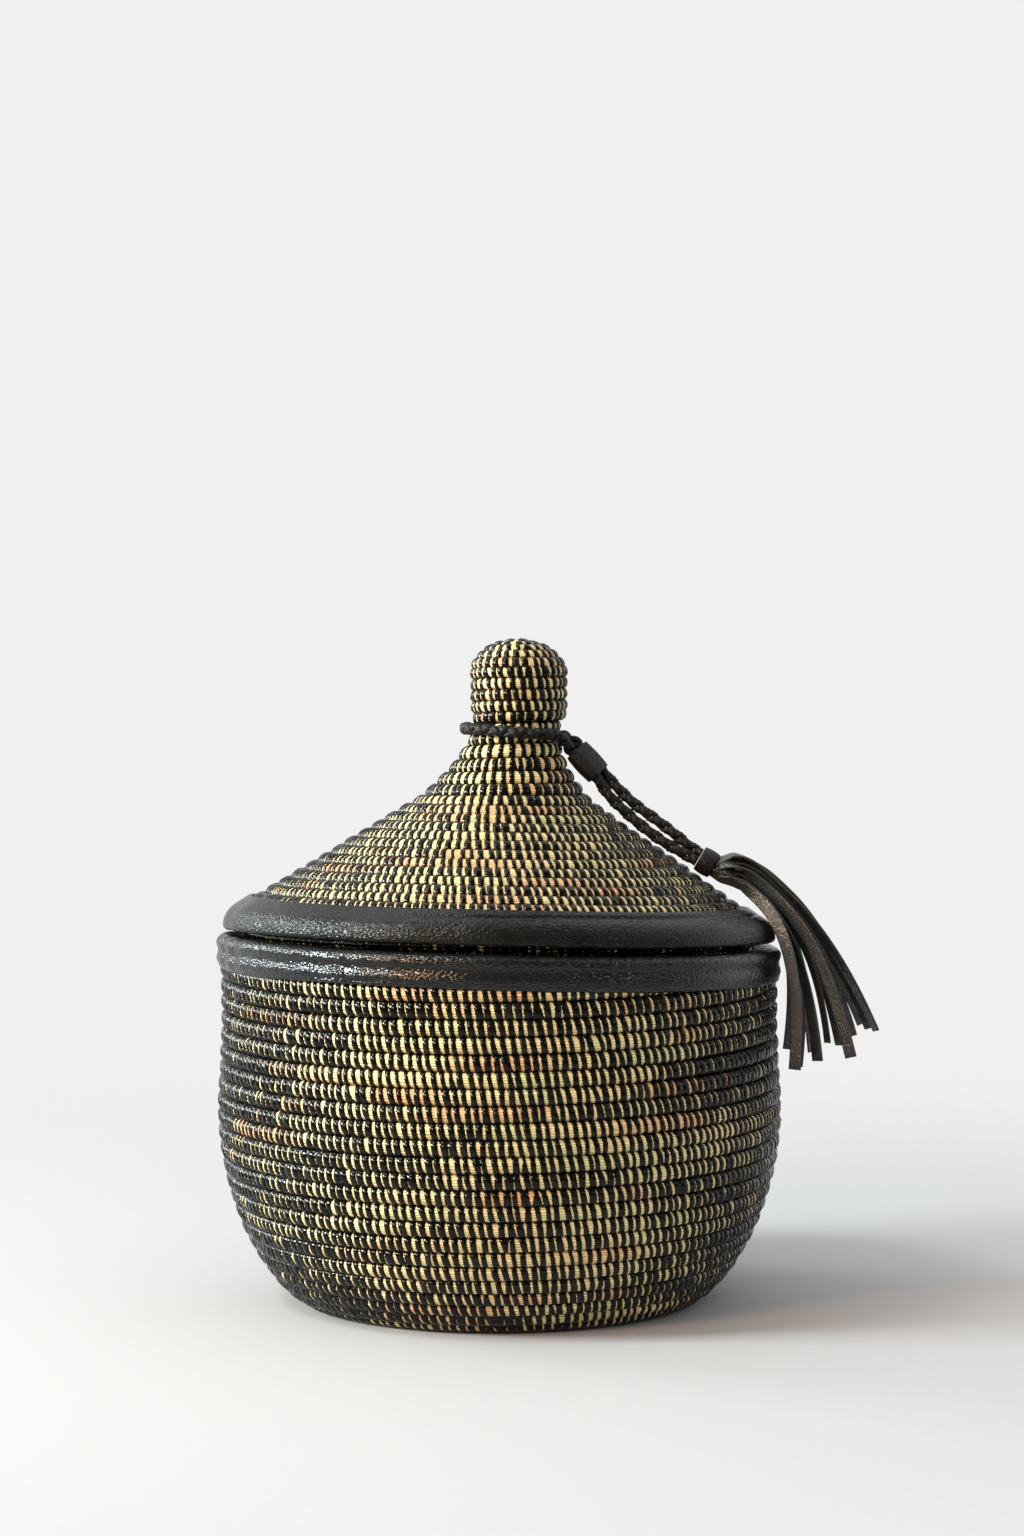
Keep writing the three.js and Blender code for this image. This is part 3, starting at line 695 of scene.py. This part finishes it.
def make_strip(number, centres):
    share = np.linspace(0, 1, len(centres))
    twist = STRIP_FACING + STRIP_TWIST * math.sin(number * 2.4)
    wide, thick = strip_frames(centres, twist, number)
    widths = STRIP_START + (STRIP_WIDTH - STRIP_START) * smooth(share, 0.0, 0.12)
    widths = widths * (1 + 0.05 * ripple(share * 9, seed=number + 40))
    piece = ribbon(f"tassel_strip_look_{number:02d}", centres, wide, thick, widths, STRIP_LEATHER, STRIP_CUP)
    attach(piece, "tassel")
    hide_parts(f"tassel_strip_{number:02d}")


def make_tassel():
    number = 0
    for layer, bends in enumerate(STRIP_LAYERS):
        for index in range(bends["count"]):
            number += 1
            make_strip(number, strip_centres(bends, layer, index, number))


def make_fittings():
    keeper = sleeve("keeper_look", KEEPER_START, KEEPER_ALONG, KEEPER_PAIR, KEEPER_LENGTH,
                    inside=KEEPER_INSIDE, thickness=1.1, apart=PAIR_OFFSET, lumps=0.12)
    band = sleeve("head_band", HEAD_START, HEAD_ALONG, HEAD_PAIR, HEAD_LENGTH,
                  inside=HEAD_INSIDE, thickness=0.8, apart=0.8, lumps=0.12)
    knot = sleeve("head_knot", HEAD_START + HEAD_ALONG, HEAD_ALONG, HEAD_PAIR, KNOT_LENGTH,
                  inside=0.05, thickness=5.4, apart=0.4, lumps=0.2)
    for piece, body, node in (
        (keeper, "tassel_cord", "cord_keeper"),
        (band, "tassel", "tassel_head_band"),
        (knot, "tassel", "tassel_knot"),
    ):
        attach(piece, body)
        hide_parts(node)


# Coils


ROW_BOX = 0.84
ROW_OVERLAP = 1.02
COIL_CORNERS = 14
SWELL_ROUND = 0.22
SWELL_ALONG = 0.12
ROW_SAG = 0.16
BASKET_SLANT = 1.9
CONE_SLANT = 1.3
KNOB_SLANT = 1.1
RING_SLANT = 1.2


class Coil:
    """A bundle of grass wound up an outline of (radius, height), row upon row."""

    def __init__(self, outline, thickness, pitch, place, start, seed):
        self.outline = outline
        self.pitch = pitch
        self.place = place
        self.seed = seed
        self.half = (thickness / 2, pitch / 2 * ROW_OVERLAP)
        self.stations = np.arange(start, outline.length, 0.1)
        radius = outline.at(self.stations)[:, 0]
        step = np.hypot(np.diff(self.stations), radius[1:] * TAU * np.diff(self.stations) / pitch)
        self.lengths = np.concatenate([[0], np.cumsum(step)])
        self.length = self.lengths[-1]

    def station(self, length):
        return np.interp(length, self.lengths, self.stations)

    def surface(self, length, alpha, height=0.0):
        """Points on the bundle: alpha is 0 outside, +90 degrees on top, and height stands off it."""
        station = self.station(length)
        angle = TAU * (station / self.pitch - 0.5)
        radius, level = np.moveaxis(self.outline.at(station), -1, 0)
        along_r, along_z = np.moveaxis(self.outline.along(station), -1, 0)
        out_r, out_z = along_z, -along_r
        rows = station / self.pitch
        swell = SWELL_ROUND * ripple(3 * np.cos(angle), 3 * np.sin(angle), rows * 0.8, seed=self.seed)
        swell = swell + SWELL_ALONG * ripple(length / 22, seed=self.seed + 1)
        sag = ROW_SAG * ripple(length / 35, seed=self.seed + 2)
        across, up = rounded_box(alpha, ROW_BOX)
        out = swell - self.half[0] + across * self.half[0] + height * np.cos(alpha)
        rise = sag + up * self.half[1] + height * np.sin(alpha)
        r = radius + out * out_r + rise * along_r
        z = level + out * out_z + rise * along_z
        return self.place(np.stack([r * np.cos(angle), r * np.sin(angle), z], axis=-1))


def coil_piece(name, coil, step, corners=COIL_CORNERS):
    """The bundle itself, as one closed tube along the coil."""
    count = int(coil.length / step)
    lengths = np.linspace(0, coil.length, count)
    alpha = np.linspace(-math.pi, math.pi, corners, endpoint=False)
    points = coil.surface(lengths[:, None], alpha[None, :])
    uv = grid_uv(lengths * MM, np.linspace(0, 1, corners + 1))
    return make_piece(name, points, grid_faces(count, corners, closed=True), (straw,), uv=uv)


OUTSIDE = (math.radians(-88), math.radians(88))
INSIDE = (math.radians(92), math.radians(268))
STITCH_PROFILE = np.array([(-1.0, -0.25), (-0.78, 0.38), (0.0, 0.55), (0.78, 0.38), (1.0, -0.25)])
INNER_PROFILE = np.array([(-1.0, -0.2), (0.0, 0.5), (1.0, -0.2)])
OUTER_STEPS, INNER_STEPS = 8, 6
# How unevenly strips are laid
MARK_SPREAD = 0.07
WIDTH_SPREAD = 0.10
NARROWEST = 0.9
LEAN_SPREAD = 0.3
SPLAY_SPREAD = 0.08
SPLAYED_SHARE = 0.04
SPLAYED = 0.5
LIFT_SPREAD = 0.09
TINT_MIDDLE, TINT_SPREAD = 0.5, 0.22
FLARE = 0.35
CRINKLE = 0.12


def stitch_lengths(coil, spacing, group, seed):
    """Where each strip crosses the bundle, in columns that carry on from row to row."""
    radius = coil.outline.at(coil.stations)[:, 0]
    wanted = TAU * np.maximum(radius, 2) / spacing
    per_turn = np.maximum(np.round(wanted / group) * group, 4) + 0.3
    crossed = np.concatenate([[0], np.cumsum(per_turn[1:] * np.diff(coil.stations) / coil.pitch)])
    marks = np.arange(1, int(crossed[-1]))
    marks = marks + np.random.default_rng(seed).normal(0, MARK_SPREAD, len(marks))
    return np.interp(marks, crossed, coil.lengths)


def stitches_piece(name, coil, lengths, cover, side, slant, seed, inner=False):
    """Binding strips over one side of the bundle. cover is the share of a row that they hide."""
    low, high = side
    steps = INNER_STEPS if inner else OUTER_STEPS
    profile = INNER_PROFILE if inner else STITCH_PROFILE
    draw = np.random.default_rng(seed)
    count = len(lengths)
    gap = np.gradient(lengths)
    patchy = 1 + 0.13 * ripple(lengths / 45, seed=seed) + 0.10 * ripple(lengths / 9, seed=seed + 1)
    wanted = gap * cover * patchy * draw.normal(1, WIDTH_SPREAD, count)
    width = np.clip(wanted, NARROWEST, 1.04 * gap * (cover + 0.25))
    lean = slant * (1 + draw.normal(0, LEAN_SPREAD, count))
    splay = draw.normal(0, SPLAY_SPREAD, count)
    splayed = draw.random(count) < SPLAYED_SHARE
    splay = splay + np.where(splayed, draw.choice((-SPLAYED, SPLAYED), count), 0)
    lift = draw.normal(0, LIFT_SPREAD, count)
    tint = np.clip(draw.normal(TINT_MIDDLE, TINT_SPREAD, count), 0, 1)
    alpha = np.linspace(low, high, steps)[None, :, None]
    across = profile[:, 0][None, None, :]
    height = profile[:, 1][None, None, :]
    flare = 1 + FLARE * smooth(np.abs(np.sin(alpha)), 0.75, 1.0)
    half = (width[:, None, None] / 2) * (1 + splay[:, None, None] * np.sin(alpha)) * flare
    offset = across * half - lean[:, None, None] * np.sin(alpha) / 2
    crinkle = CRINKLE * np.random.default_rng(seed + 2).normal(0, 1, (count, steps, len(profile)))
    stand = height + lift[:, None, None] + crinkle
    points = coil.surface(lengths[:, None, None] + offset, alpha, stand)
    size = steps * len(profile)
    faces = grid_faces(steps, len(profile))[None] + np.arange(count)[:, None, None] * size
    return make_piece(name, points, faces.reshape(-1, 4), (strip,), tint=np.repeat(tint, size))


def in_ring(points):
    """Rows of the ring: cut off flat above and below, where they meet the cone and end."""
    x, y, z = np.moveaxis(points, -1, 0)
    return on_lid(np.stack([x, y, np.clip(z, RING_LOW, RING_HIGH)], axis=-1))


def in_basket(points):
    """Rows of the basket: flat on the floor, and cut off along the mouth under the binding."""
    x, y, z = np.moveaxis(points, -1, 0)
    mouth = RIM_HEIGHT - MOUTH_SLOPE * x - MOUTH_TILT * y
    return np.stack([x, y, np.clip(z, 0.1, mouth)], axis=-1)


BELLY = (BELLY_RADIUS, BELLY_HEIGHT)
SHOULDER = (MOUTH_RADIUS, SHOULDER_HEIGHT)
BODY_OUTLINE = Line(
    straight((0, 0), (FOOT_RADIUS, 0), 60),
    bezier((FOOT_RADIUS, 0), (118, 0), (BELLY_RADIUS, 46), BELLY, 90),
    bezier(BELLY, (BELLY_RADIUS, 127), (MOUTH_RADIUS, 138), SHOULDER, 40),
    straight(SHOULDER, (MOUTH_RADIUS, RIM_HEIGHT + 14), 30),
)
ROLL_CENTRE = LID_RADIUS - LID_ROLL


def roll_arc(radius, first, steps=12):
    """The lid's rolled edge, from an angle up to where the slope starts."""
    angle = np.linspace(first, math.pi / 2 - LID_SLOPE, steps)
    return np.stack([ROLL_CENTRE + radius * np.cos(angle), LID_EDGE + radius * np.sin(angle)], axis=-1)


SLOPE_START = roll_arc(LID_ROLL, 0)[-1]
KNEE = (KNEE_RADIUS, SLOPE_START[1] + (SLOPE_START[0] - KNEE_RADIUS) * math.tan(LID_SLOPE))
LID_OUTLINE = Line(
    roll_arc(LID_ROLL, 0),
    straight(SLOPE_START, KNEE, 60),
    bezier(KNEE, (41.6, 270.7), (26, 289.6), (NECK_RADIUS, NECK_HEIGHT), 50),
)
KNOB_FOOT = (NECK_RADIUS, 303.9)
KNOB_LOW = (KNOB_RADIUS, 319.9)
KNOB_HIGH = (KNOB_RADIUS, 336.9)
KNOB_TOP = 353.7
KNOB_OUTLINE = Line(
    bezier(KNOB_FOOT, (NECK_RADIUS, 311.9), (KNOB_RADIUS, 311.9), KNOB_LOW, 20),
    straight(KNOB_LOW, KNOB_HIGH, 8),
    bezier(KNOB_HIGH, (KNOB_RADIUS, 343.7), (15, KNOB_TOP), (0, KNOB_TOP), 30),
)
RING_LOW, RING_HIGH = 185.3, 198.9
RING_OUTLINE = Line(straight((RING_RADIUS, RING_LOW), (RING_RADIUS, RING_HIGH), 20))
LEATHER_LOW = 176.0
STRIPS_UNDER_LEATHER = 4.0
CONE_STRIPS_FROM = 19.0
# Share of a row that its strips hide
BASKET_COVER = 0.90
OPEN_AT_FRONT = 0.17
# More strip towards the foot: partly the real cover of the low rows, partly dark strips standing in for shade
# near the floor
CLOSE_AT_FOOT = 0.05
KNOB_COVER = 0.68
# Over 1, so that the ring's dark strips hide all its grass: they stand in for the shade in the gap under the
# lid
RING_SHADE_COVER = 1.8


def make_basket():
    coil = Coil(BODY_OUTLINE, WALL_THICKNESS, ROW_PITCH, in_basket, start=4.5, seed=3)
    bundle = coil_piece("basket_coil", coil, step=4.6)
    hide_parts("basket_base_coil", "basket_wall_coil")
    lengths = stitch_lengths(coil, spacing=4.95, group=6, seed=21)
    x, y, z = coil.surface(lengths, 0.0).T
    shown = z < LEATHER_LOW + STRIPS_UNDER_LEATHER - MOUTH_SLOPE * x - MOUTH_TILT * y
    lengths, x, y, z = lengths[shown], x[shown], y[shown], z[shown]
    front = towards(np.arctan2(y, x), -88, 58)
    # Near the foot the strips close up, partly as painted shade near the floor
    cover = BASKET_COVER - OPEN_AT_FRONT * front + CLOSE_AT_FOOT * (1 - smooth(z, 20, 90))
    half = len(lengths) // 2
    pieces = [bundle]
    for name, chosen, side, inner in (
        ("basket_strips_low", slice(half), OUTSIDE, False),
        ("basket_strips_high", slice(half, None), OUTSIDE, False),
        ("basket_strips_inside", slice(None), INSIDE, True),
    ):
        pieces.append(stitches_piece(name, coil, lengths[chosen], cover[chosen], side, BASKET_SLANT,
                                     seed=31, inner=inner))
    for piece in pieces:
        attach(piece, "basket")


def make_cone():
    cone = Coil(LID_OUTLINE, LID_THICKNESS, LID_PITCH, on_lid, start=4.0, seed=7)
    bundle = coil_piece("cone_coil", cone, step=3.6)
    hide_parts("lid_cone_coil")
    spacing = np.interp(cone.stations, (27, 110, 169), (4.8, 4.9, 5.6))
    lengths = stitch_lengths(cone, spacing, group=14, seed=22)
    station = cone.station(lengths)
    cover = np.interp(station, (27, 60, 169), (0.74, 0.69, 0.66))
    shown = station > CONE_STRIPS_FROM
    outer = stitches_piece("cone_strips", cone, lengths[shown], cover[shown], OUTSIDE, CONE_SLANT, seed=41)
    inner = stitches_piece("cone_strips_inside", cone, lengths, cover, INSIDE, CONE_SLANT,
                           seed=42, inner=True)
    return [bundle, outer, inner]


def make_knob():
    knob = Coil(KNOB_OUTLINE, KNOB_THICKNESS, KNOB_PITCH, on_lid, start=1.0, seed=8)
    bundle = coil_piece("knob_coil", knob, step=2.2)
    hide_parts("lid_knob_coil")
    lengths = stitch_lengths(knob, spacing=5.3, group=4, seed=23)
    return [bundle, stitches_piece("knob_strips", knob, lengths, KNOB_COVER, OUTSIDE, KNOB_SLANT, seed=43)]


def make_ring():
    """Two rows under the lid, their strips side by side with no grass between them. The dark strips are made
    wider than the real ones to stand in for the shade in the gap under the lid.
    """
    ring = Coil(RING_OUTLINE, LID_THICKNESS, (RING_HIGH - RING_LOW) / 2, in_ring, start=0.0, seed=9)
    bundle = coil_piece("ring_coil", ring, step=3.6, corners=12)
    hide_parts("lid_locating_ring")
    lengths = stitch_lengths(ring, spacing=4.8, group=2, seed=24)
    pieces = [bundle]
    for name, side in (("ring_strips", OUTSIDE), ("ring_strips_inside", INSIDE)):
        pieces.append(stitches_piece(name, ring, lengths, RING_SHADE_COVER, side, RING_SLANT, seed=44, inner=True))
    return pieces


def make_lid():
    for piece in make_cone() + make_knob() + make_ring():
        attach(piece, "lid")


# Leather bindings


BAND_STEPS = 960
ROWS_UNDER_LEATHER = 8.5
FOLD_STATION = 28.5
FOLD_DEPTH = 0.9
FOLD_WIDTH = 1.1


def leather_band(name, outline, place, columns, bump, shift, material):
    """Leather folded round an edge: an outline swept round, with its thickness turned inwards."""
    station = np.linspace(0, outline.length, columns)
    points = outline.at(station)
    along = outline.along(station)
    normal = np.stack([along[:, 1], -along[:, 0]], axis=-1)
    angle = np.linspace(0, TAU, BAND_STEPS, endpoint=False)
    turned, placed = np.meshgrid(angle, station, indexing="ij")
    raised, shifted = bump(turned, placed)[..., None], shift(turned, placed)[..., None]
    outer = points[None] + normal[None] * raised + along[None] * shifted
    inner = np.broadcast_to((points - normal * LEATHER)[::-1], outer.shape)
    section = np.concatenate([outer, inner], axis=1)
    radius, level = section[..., 0], section[..., 1]
    x, y = radius * np.cos(angle)[:, None], radius * np.sin(angle)[:, None]
    ring = place(np.stack([x, y, level], axis=-1))
    faces = grid_faces(BAND_STEPS + 1, columns * 2, closed=True) % (BAND_STEPS * columns * 2)
    width = station[-1] + LEATHER
    across = np.concatenate([station, width + station, [2 * width]]) * MM
    round_it = np.linspace(0, TAU * LID_RADIUS, BAND_STEPS + 1) * MM
    uv = grid_uv(round_it, across).reshape(-1, 4, 2)[:, ::-1]
    return make_piece(name, ring, faces[:, ::-1], (material,), uv=uv)


def rounded_corner(centre, radius, first, last, steps=6):
    angle = np.radians(np.linspace(first, last, steps))
    return np.stack([centre[0] + radius * np.cos(angle), centre[1] + radius * np.sin(angle)], axis=-1)


def towards(angle, degrees, width):
    """1 near a direction round the basket, falling to 0 beyond width degrees."""
    away = np.abs((np.degrees(angle) - degrees + 180) % 360 - 180)
    return 1 - smooth(away, 0.4 * width, width)


def basket_bump(angle, station):
    """The two rows underneath show through, and the leather is creased at one side."""
    rows = 0.45 * np.cos(TAU * (station - 6) / ROWS_UNDER_LEATHER) * (station < 20)
    broad = 0.25 * ripple(6 * np.cos(angle), 6 * np.sin(angle), station / 9, seed=51)
    wrinkles = ripple(60 * angle, station / 11, seed=52, waves=7)
    creased = 0.30 * towards(angle, 188, 26) + 0.05
    return (rows + broad + creased * wrinkles) * smooth(station, 0.5, 4)


def wandering(angle, waves, ripples, seed):
    """How far an edge strays up and down: broad waves with small ones on them."""
    broad = ripple(waves * np.cos(angle), waves * np.sin(angle), seed=seed)
    return 0.5 * broad + 0.2 * ripple(ripples * angle, seed=seed + 1)


def basket_shift(angle, station):
    return wandering(angle, 9, 40, seed=53) * (1 - smooth(station, 0, 9))


def lid_bump(angle, station):
    """A fold runs along the front, and the leather is creased at one side."""
    broad = 0.3 * ripple(5 * np.cos(angle), 5 * np.sin(angle), station / 9, seed=61)
    from_fold = station - FOLD_STATION + 1.5 * np.sin(angle * 2)
    fold = -FOLD_DEPTH * np.exp(-(from_fold / FOLD_WIDTH) ** 2) * towards(angle, -55, 70)
    wrinkles = ripple(45 * angle, station / 10, seed=62, waves=7)
    creased = 0.16 * towards(angle, 190, 30) + 0.04
    return (broad + fold + creased * wrinkles) * smooth(station, 0.5, 4)


def lid_shift(angle, station):
    return wandering(angle, 8, 30, seed=63) * smooth(station, 29, 37)


RIM_OUTSIDE = 150.3
RIM_INSIDE = 137.5
RIM_CORNER = 3.2
RIM_DEPTH_INSIDE = 16
LID_UNDERSIDE = (137, 145.5)
LID_CORNER = 2.4
LID_LEATHER_WIDTH = 10.2


def make_basket_binding():
    corner_level = RIM_TOP - RIM_CORNER
    outline = Line(
        [(RIM_OUTSIDE - 1.4, LEATHER_LOW - 0.2), (RIM_OUTSIDE - 0.5, LEATHER_LOW + 0.6)],
        straight((RIM_OUTSIDE, LEATHER_LOW + 2.2), (RIM_OUTSIDE, corner_level), 10),
        rounded_corner((RIM_OUTSIDE - RIM_CORNER, corner_level), RIM_CORNER, 0, 90),
        rounded_corner((RIM_INSIDE + RIM_CORNER, corner_level), RIM_CORNER, 90, 180),
        [(RIM_INSIDE, RIM_TOP - RIM_DEPTH_INSIDE)],
    )
    band = leather_band("basket_rim_look", outline, on_mouth, 46, basket_bump, basket_shift, basket_leather)
    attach(band, "basket")
    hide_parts("basket_rim_leather")


def make_lid_binding():
    inner, outer = LID_UNDERSIDE
    up_slope = np.array([-math.cos(LID_SLOPE), math.sin(LID_SLOPE)])
    into_cone = np.array([-math.sin(LID_SLOPE), -math.cos(LID_SLOPE)])
    arc = roll_arc(LID_ROLL + 1.9, 0.15)
    top = arc[-1] + up_slope * LID_LEATHER_WIDTH
    outline = Line(
        straight((inner, LID_SEAT), (outer, LID_SEAT), 6),
        rounded_corner((outer, LID_SEAT + LID_CORNER), LID_CORNER, -90, 0),
        arc,
        straight(arc[-1], top, 10),
        [top + up_slope * 0.8 + into_cone * 0.9],
    )
    band = leather_band("lid_rim_look", outline, on_lid, 50, lid_bump, lid_shift, lid_leather)
    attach(band, "lid")
    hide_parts("lid_rim_leather")


# Stage and light


BACKGROUND = 0.87
AMBIENT = 0.85
ROOM = 0.12
ROOM_DEPTH = (-0.4, 0.3)
PAPER = (0.38, 0.38, 0.38)
FLOOR_REACH = 30000
FLOOR_FADE = (0.1, 1.0)


def rescaled(tree, value, value_range, result_range=(0, 1), interpolation="LINEAR"):
    names = ("From Min", "From Max", "To Min", "To Max")
    inputs = dict(zip(names, (*value_range, *result_range)), Value=value)
    return new_node(tree, "ShaderNodeMapRange", inputs, interpolation_type=interpolation).outputs["Result"]


def background_strength(tree, path, plain, depth):
    """Plain as it is seen. Where it is mirrored or seen through, it darkens towards the front."""
    rays = {0: path.outputs["Is Glossy Ray"], 1: path.outputs["Is Transmission Ray"]}
    mirrored = new_node(tree, "ShaderNodeMath", rays, operation="MAXIMUM").outputs[0]
    room = rescaled(tree, depth, ROOM_DEPTH, (ROOM, BACKGROUND))
    return new_node(tree, "ShaderNodeMix", {"Factor": mirrored, "A": plain, "B": room}).outputs["Result"]


def make_floor():
    """A pale floor without edges: away from the object it fades into the background."""
    points = [(x * FLOOR_REACH, y * FLOOR_REACH, 0) for y in (-1, 1) for x in (-1, 1)]
    shader = Shader("paper", PAPER, roughness=0.9, Specular_IOR_Level=0.1)
    place = shader.coordinates()
    distance = shader.node("ShaderNodeVectorMath", {0: place}, operation="LENGTH").outputs["Value"]
    fade = rescaled(shader.tree, distance, FLOOR_FADE, interpolation="SMOOTHSTEP")
    depth = shader.node("ShaderNodeSeparateXYZ", {0: place}).outputs["Y"]
    path = shader.node("ShaderNodeLightPath")
    strength = background_strength(shader.tree, path, BACKGROUND, depth)
    away = shader.node("ShaderNodeEmission", {"Strength": strength}).outputs[0]
    both = shader.node("ShaderNodeMixShader", {0: fade, 1: shader.surface.outputs[0], 2: away}).outputs[0]
    fill(shader.tree, shader.tree.nodes["Material Output"].inputs["Surface"], both)
    floor = make_piece("paper_floor", points, grid_faces(2, 2), (shader.material,))
    floor.location.z = cad_low.z


def make_world():
    """Even light all round, a plain pale background, and a dim room in front where it is mirrored."""
    world = bpy.data.worlds.new("world")
    world.use_nodes = True
    tree = world.node_tree
    path = new_node(tree, "ShaderNodeLightPath")
    direction = new_node(tree, "ShaderNodeTexCoord").outputs["Generated"]
    depth = new_node(tree, "ShaderNodeSeparateXYZ", {0: direction}).outputs["Y"]
    plain = rescaled(tree, path.outputs["Is Camera Ray"], (0, 1), (AMBIENT, BACKGROUND))
    background = tree.nodes["Background"]
    background.inputs["Color"].default_value = (1, 1, 1, 1)
    fill(tree, background.inputs["Strength"], background_strength(tree, path, plain, depth))
    bpy.context.scene.world = world


OBJECT_MIDDLE = (0, 0, 0.2)
COOL = (0.87, 0.97, 1.0)
SKY = (0.97, 0.99, 1.0)
WARM = (1.0, 0.55, 0.28)
PALE_BLUE = (0.9, 0.95, 1.0)
NEUTRAL = (1.0, 0.99, 0.98)


def soft_light(name, location, size, power, colour, target=OBJECT_MIDDLE):
    """A rectangular lamp of size metres, aimed at the object unless told otherwise."""
    data = bpy.data.lights.new(name, "AREA")
    data.shape = "RECTANGLE"
    data.size, data.size_y = size
    data.energy = power
    data.color = colour
    light = bpy.data.objects.new(name, data)
    light.location = location
    light.rotation_euler = (Vector(target) - Vector(location)).to_track_quat("-Z", "Y").to_euler()
    bpy.context.collection.objects.link(light)


def make_light():
    soft_light("window", (-2.2, -0.6, 1.0), size=(0.8, 0.5), power=108, colour=COOL)
    soft_light("skylight", (-1.3, -0.75, 2.4), size=(0.6, 0.4), power=30, colour=SKY)
    soft_light("rear_window", (-2.0, 1.0, 0.9), size=(0.8, 0.8), power=30, colour=COOL)
    soft_light("warm_panel", (-1.25, -1.55, 0.9), size=(0.5, 0.4), power=26, colour=WARM)
    soft_light("right_panel", (1.5, -1.3, 1.0), size=(0.6, 0.4), power=3, colour=PALE_BLUE)
    soft_light("overhead", (0.0, 0.9, 3.0), size=(3.0, 1.8), power=10, colour=NEUTRAL, target=(0, 0.3, 0))


make_fittings()
make_cords()
make_tassel()
make_basket()
make_lid()
make_basket_binding()
make_lid_binding()
make_floor()
make_world()
make_light()
bpy.context.scene.view_settings.view_transform = "Standard"
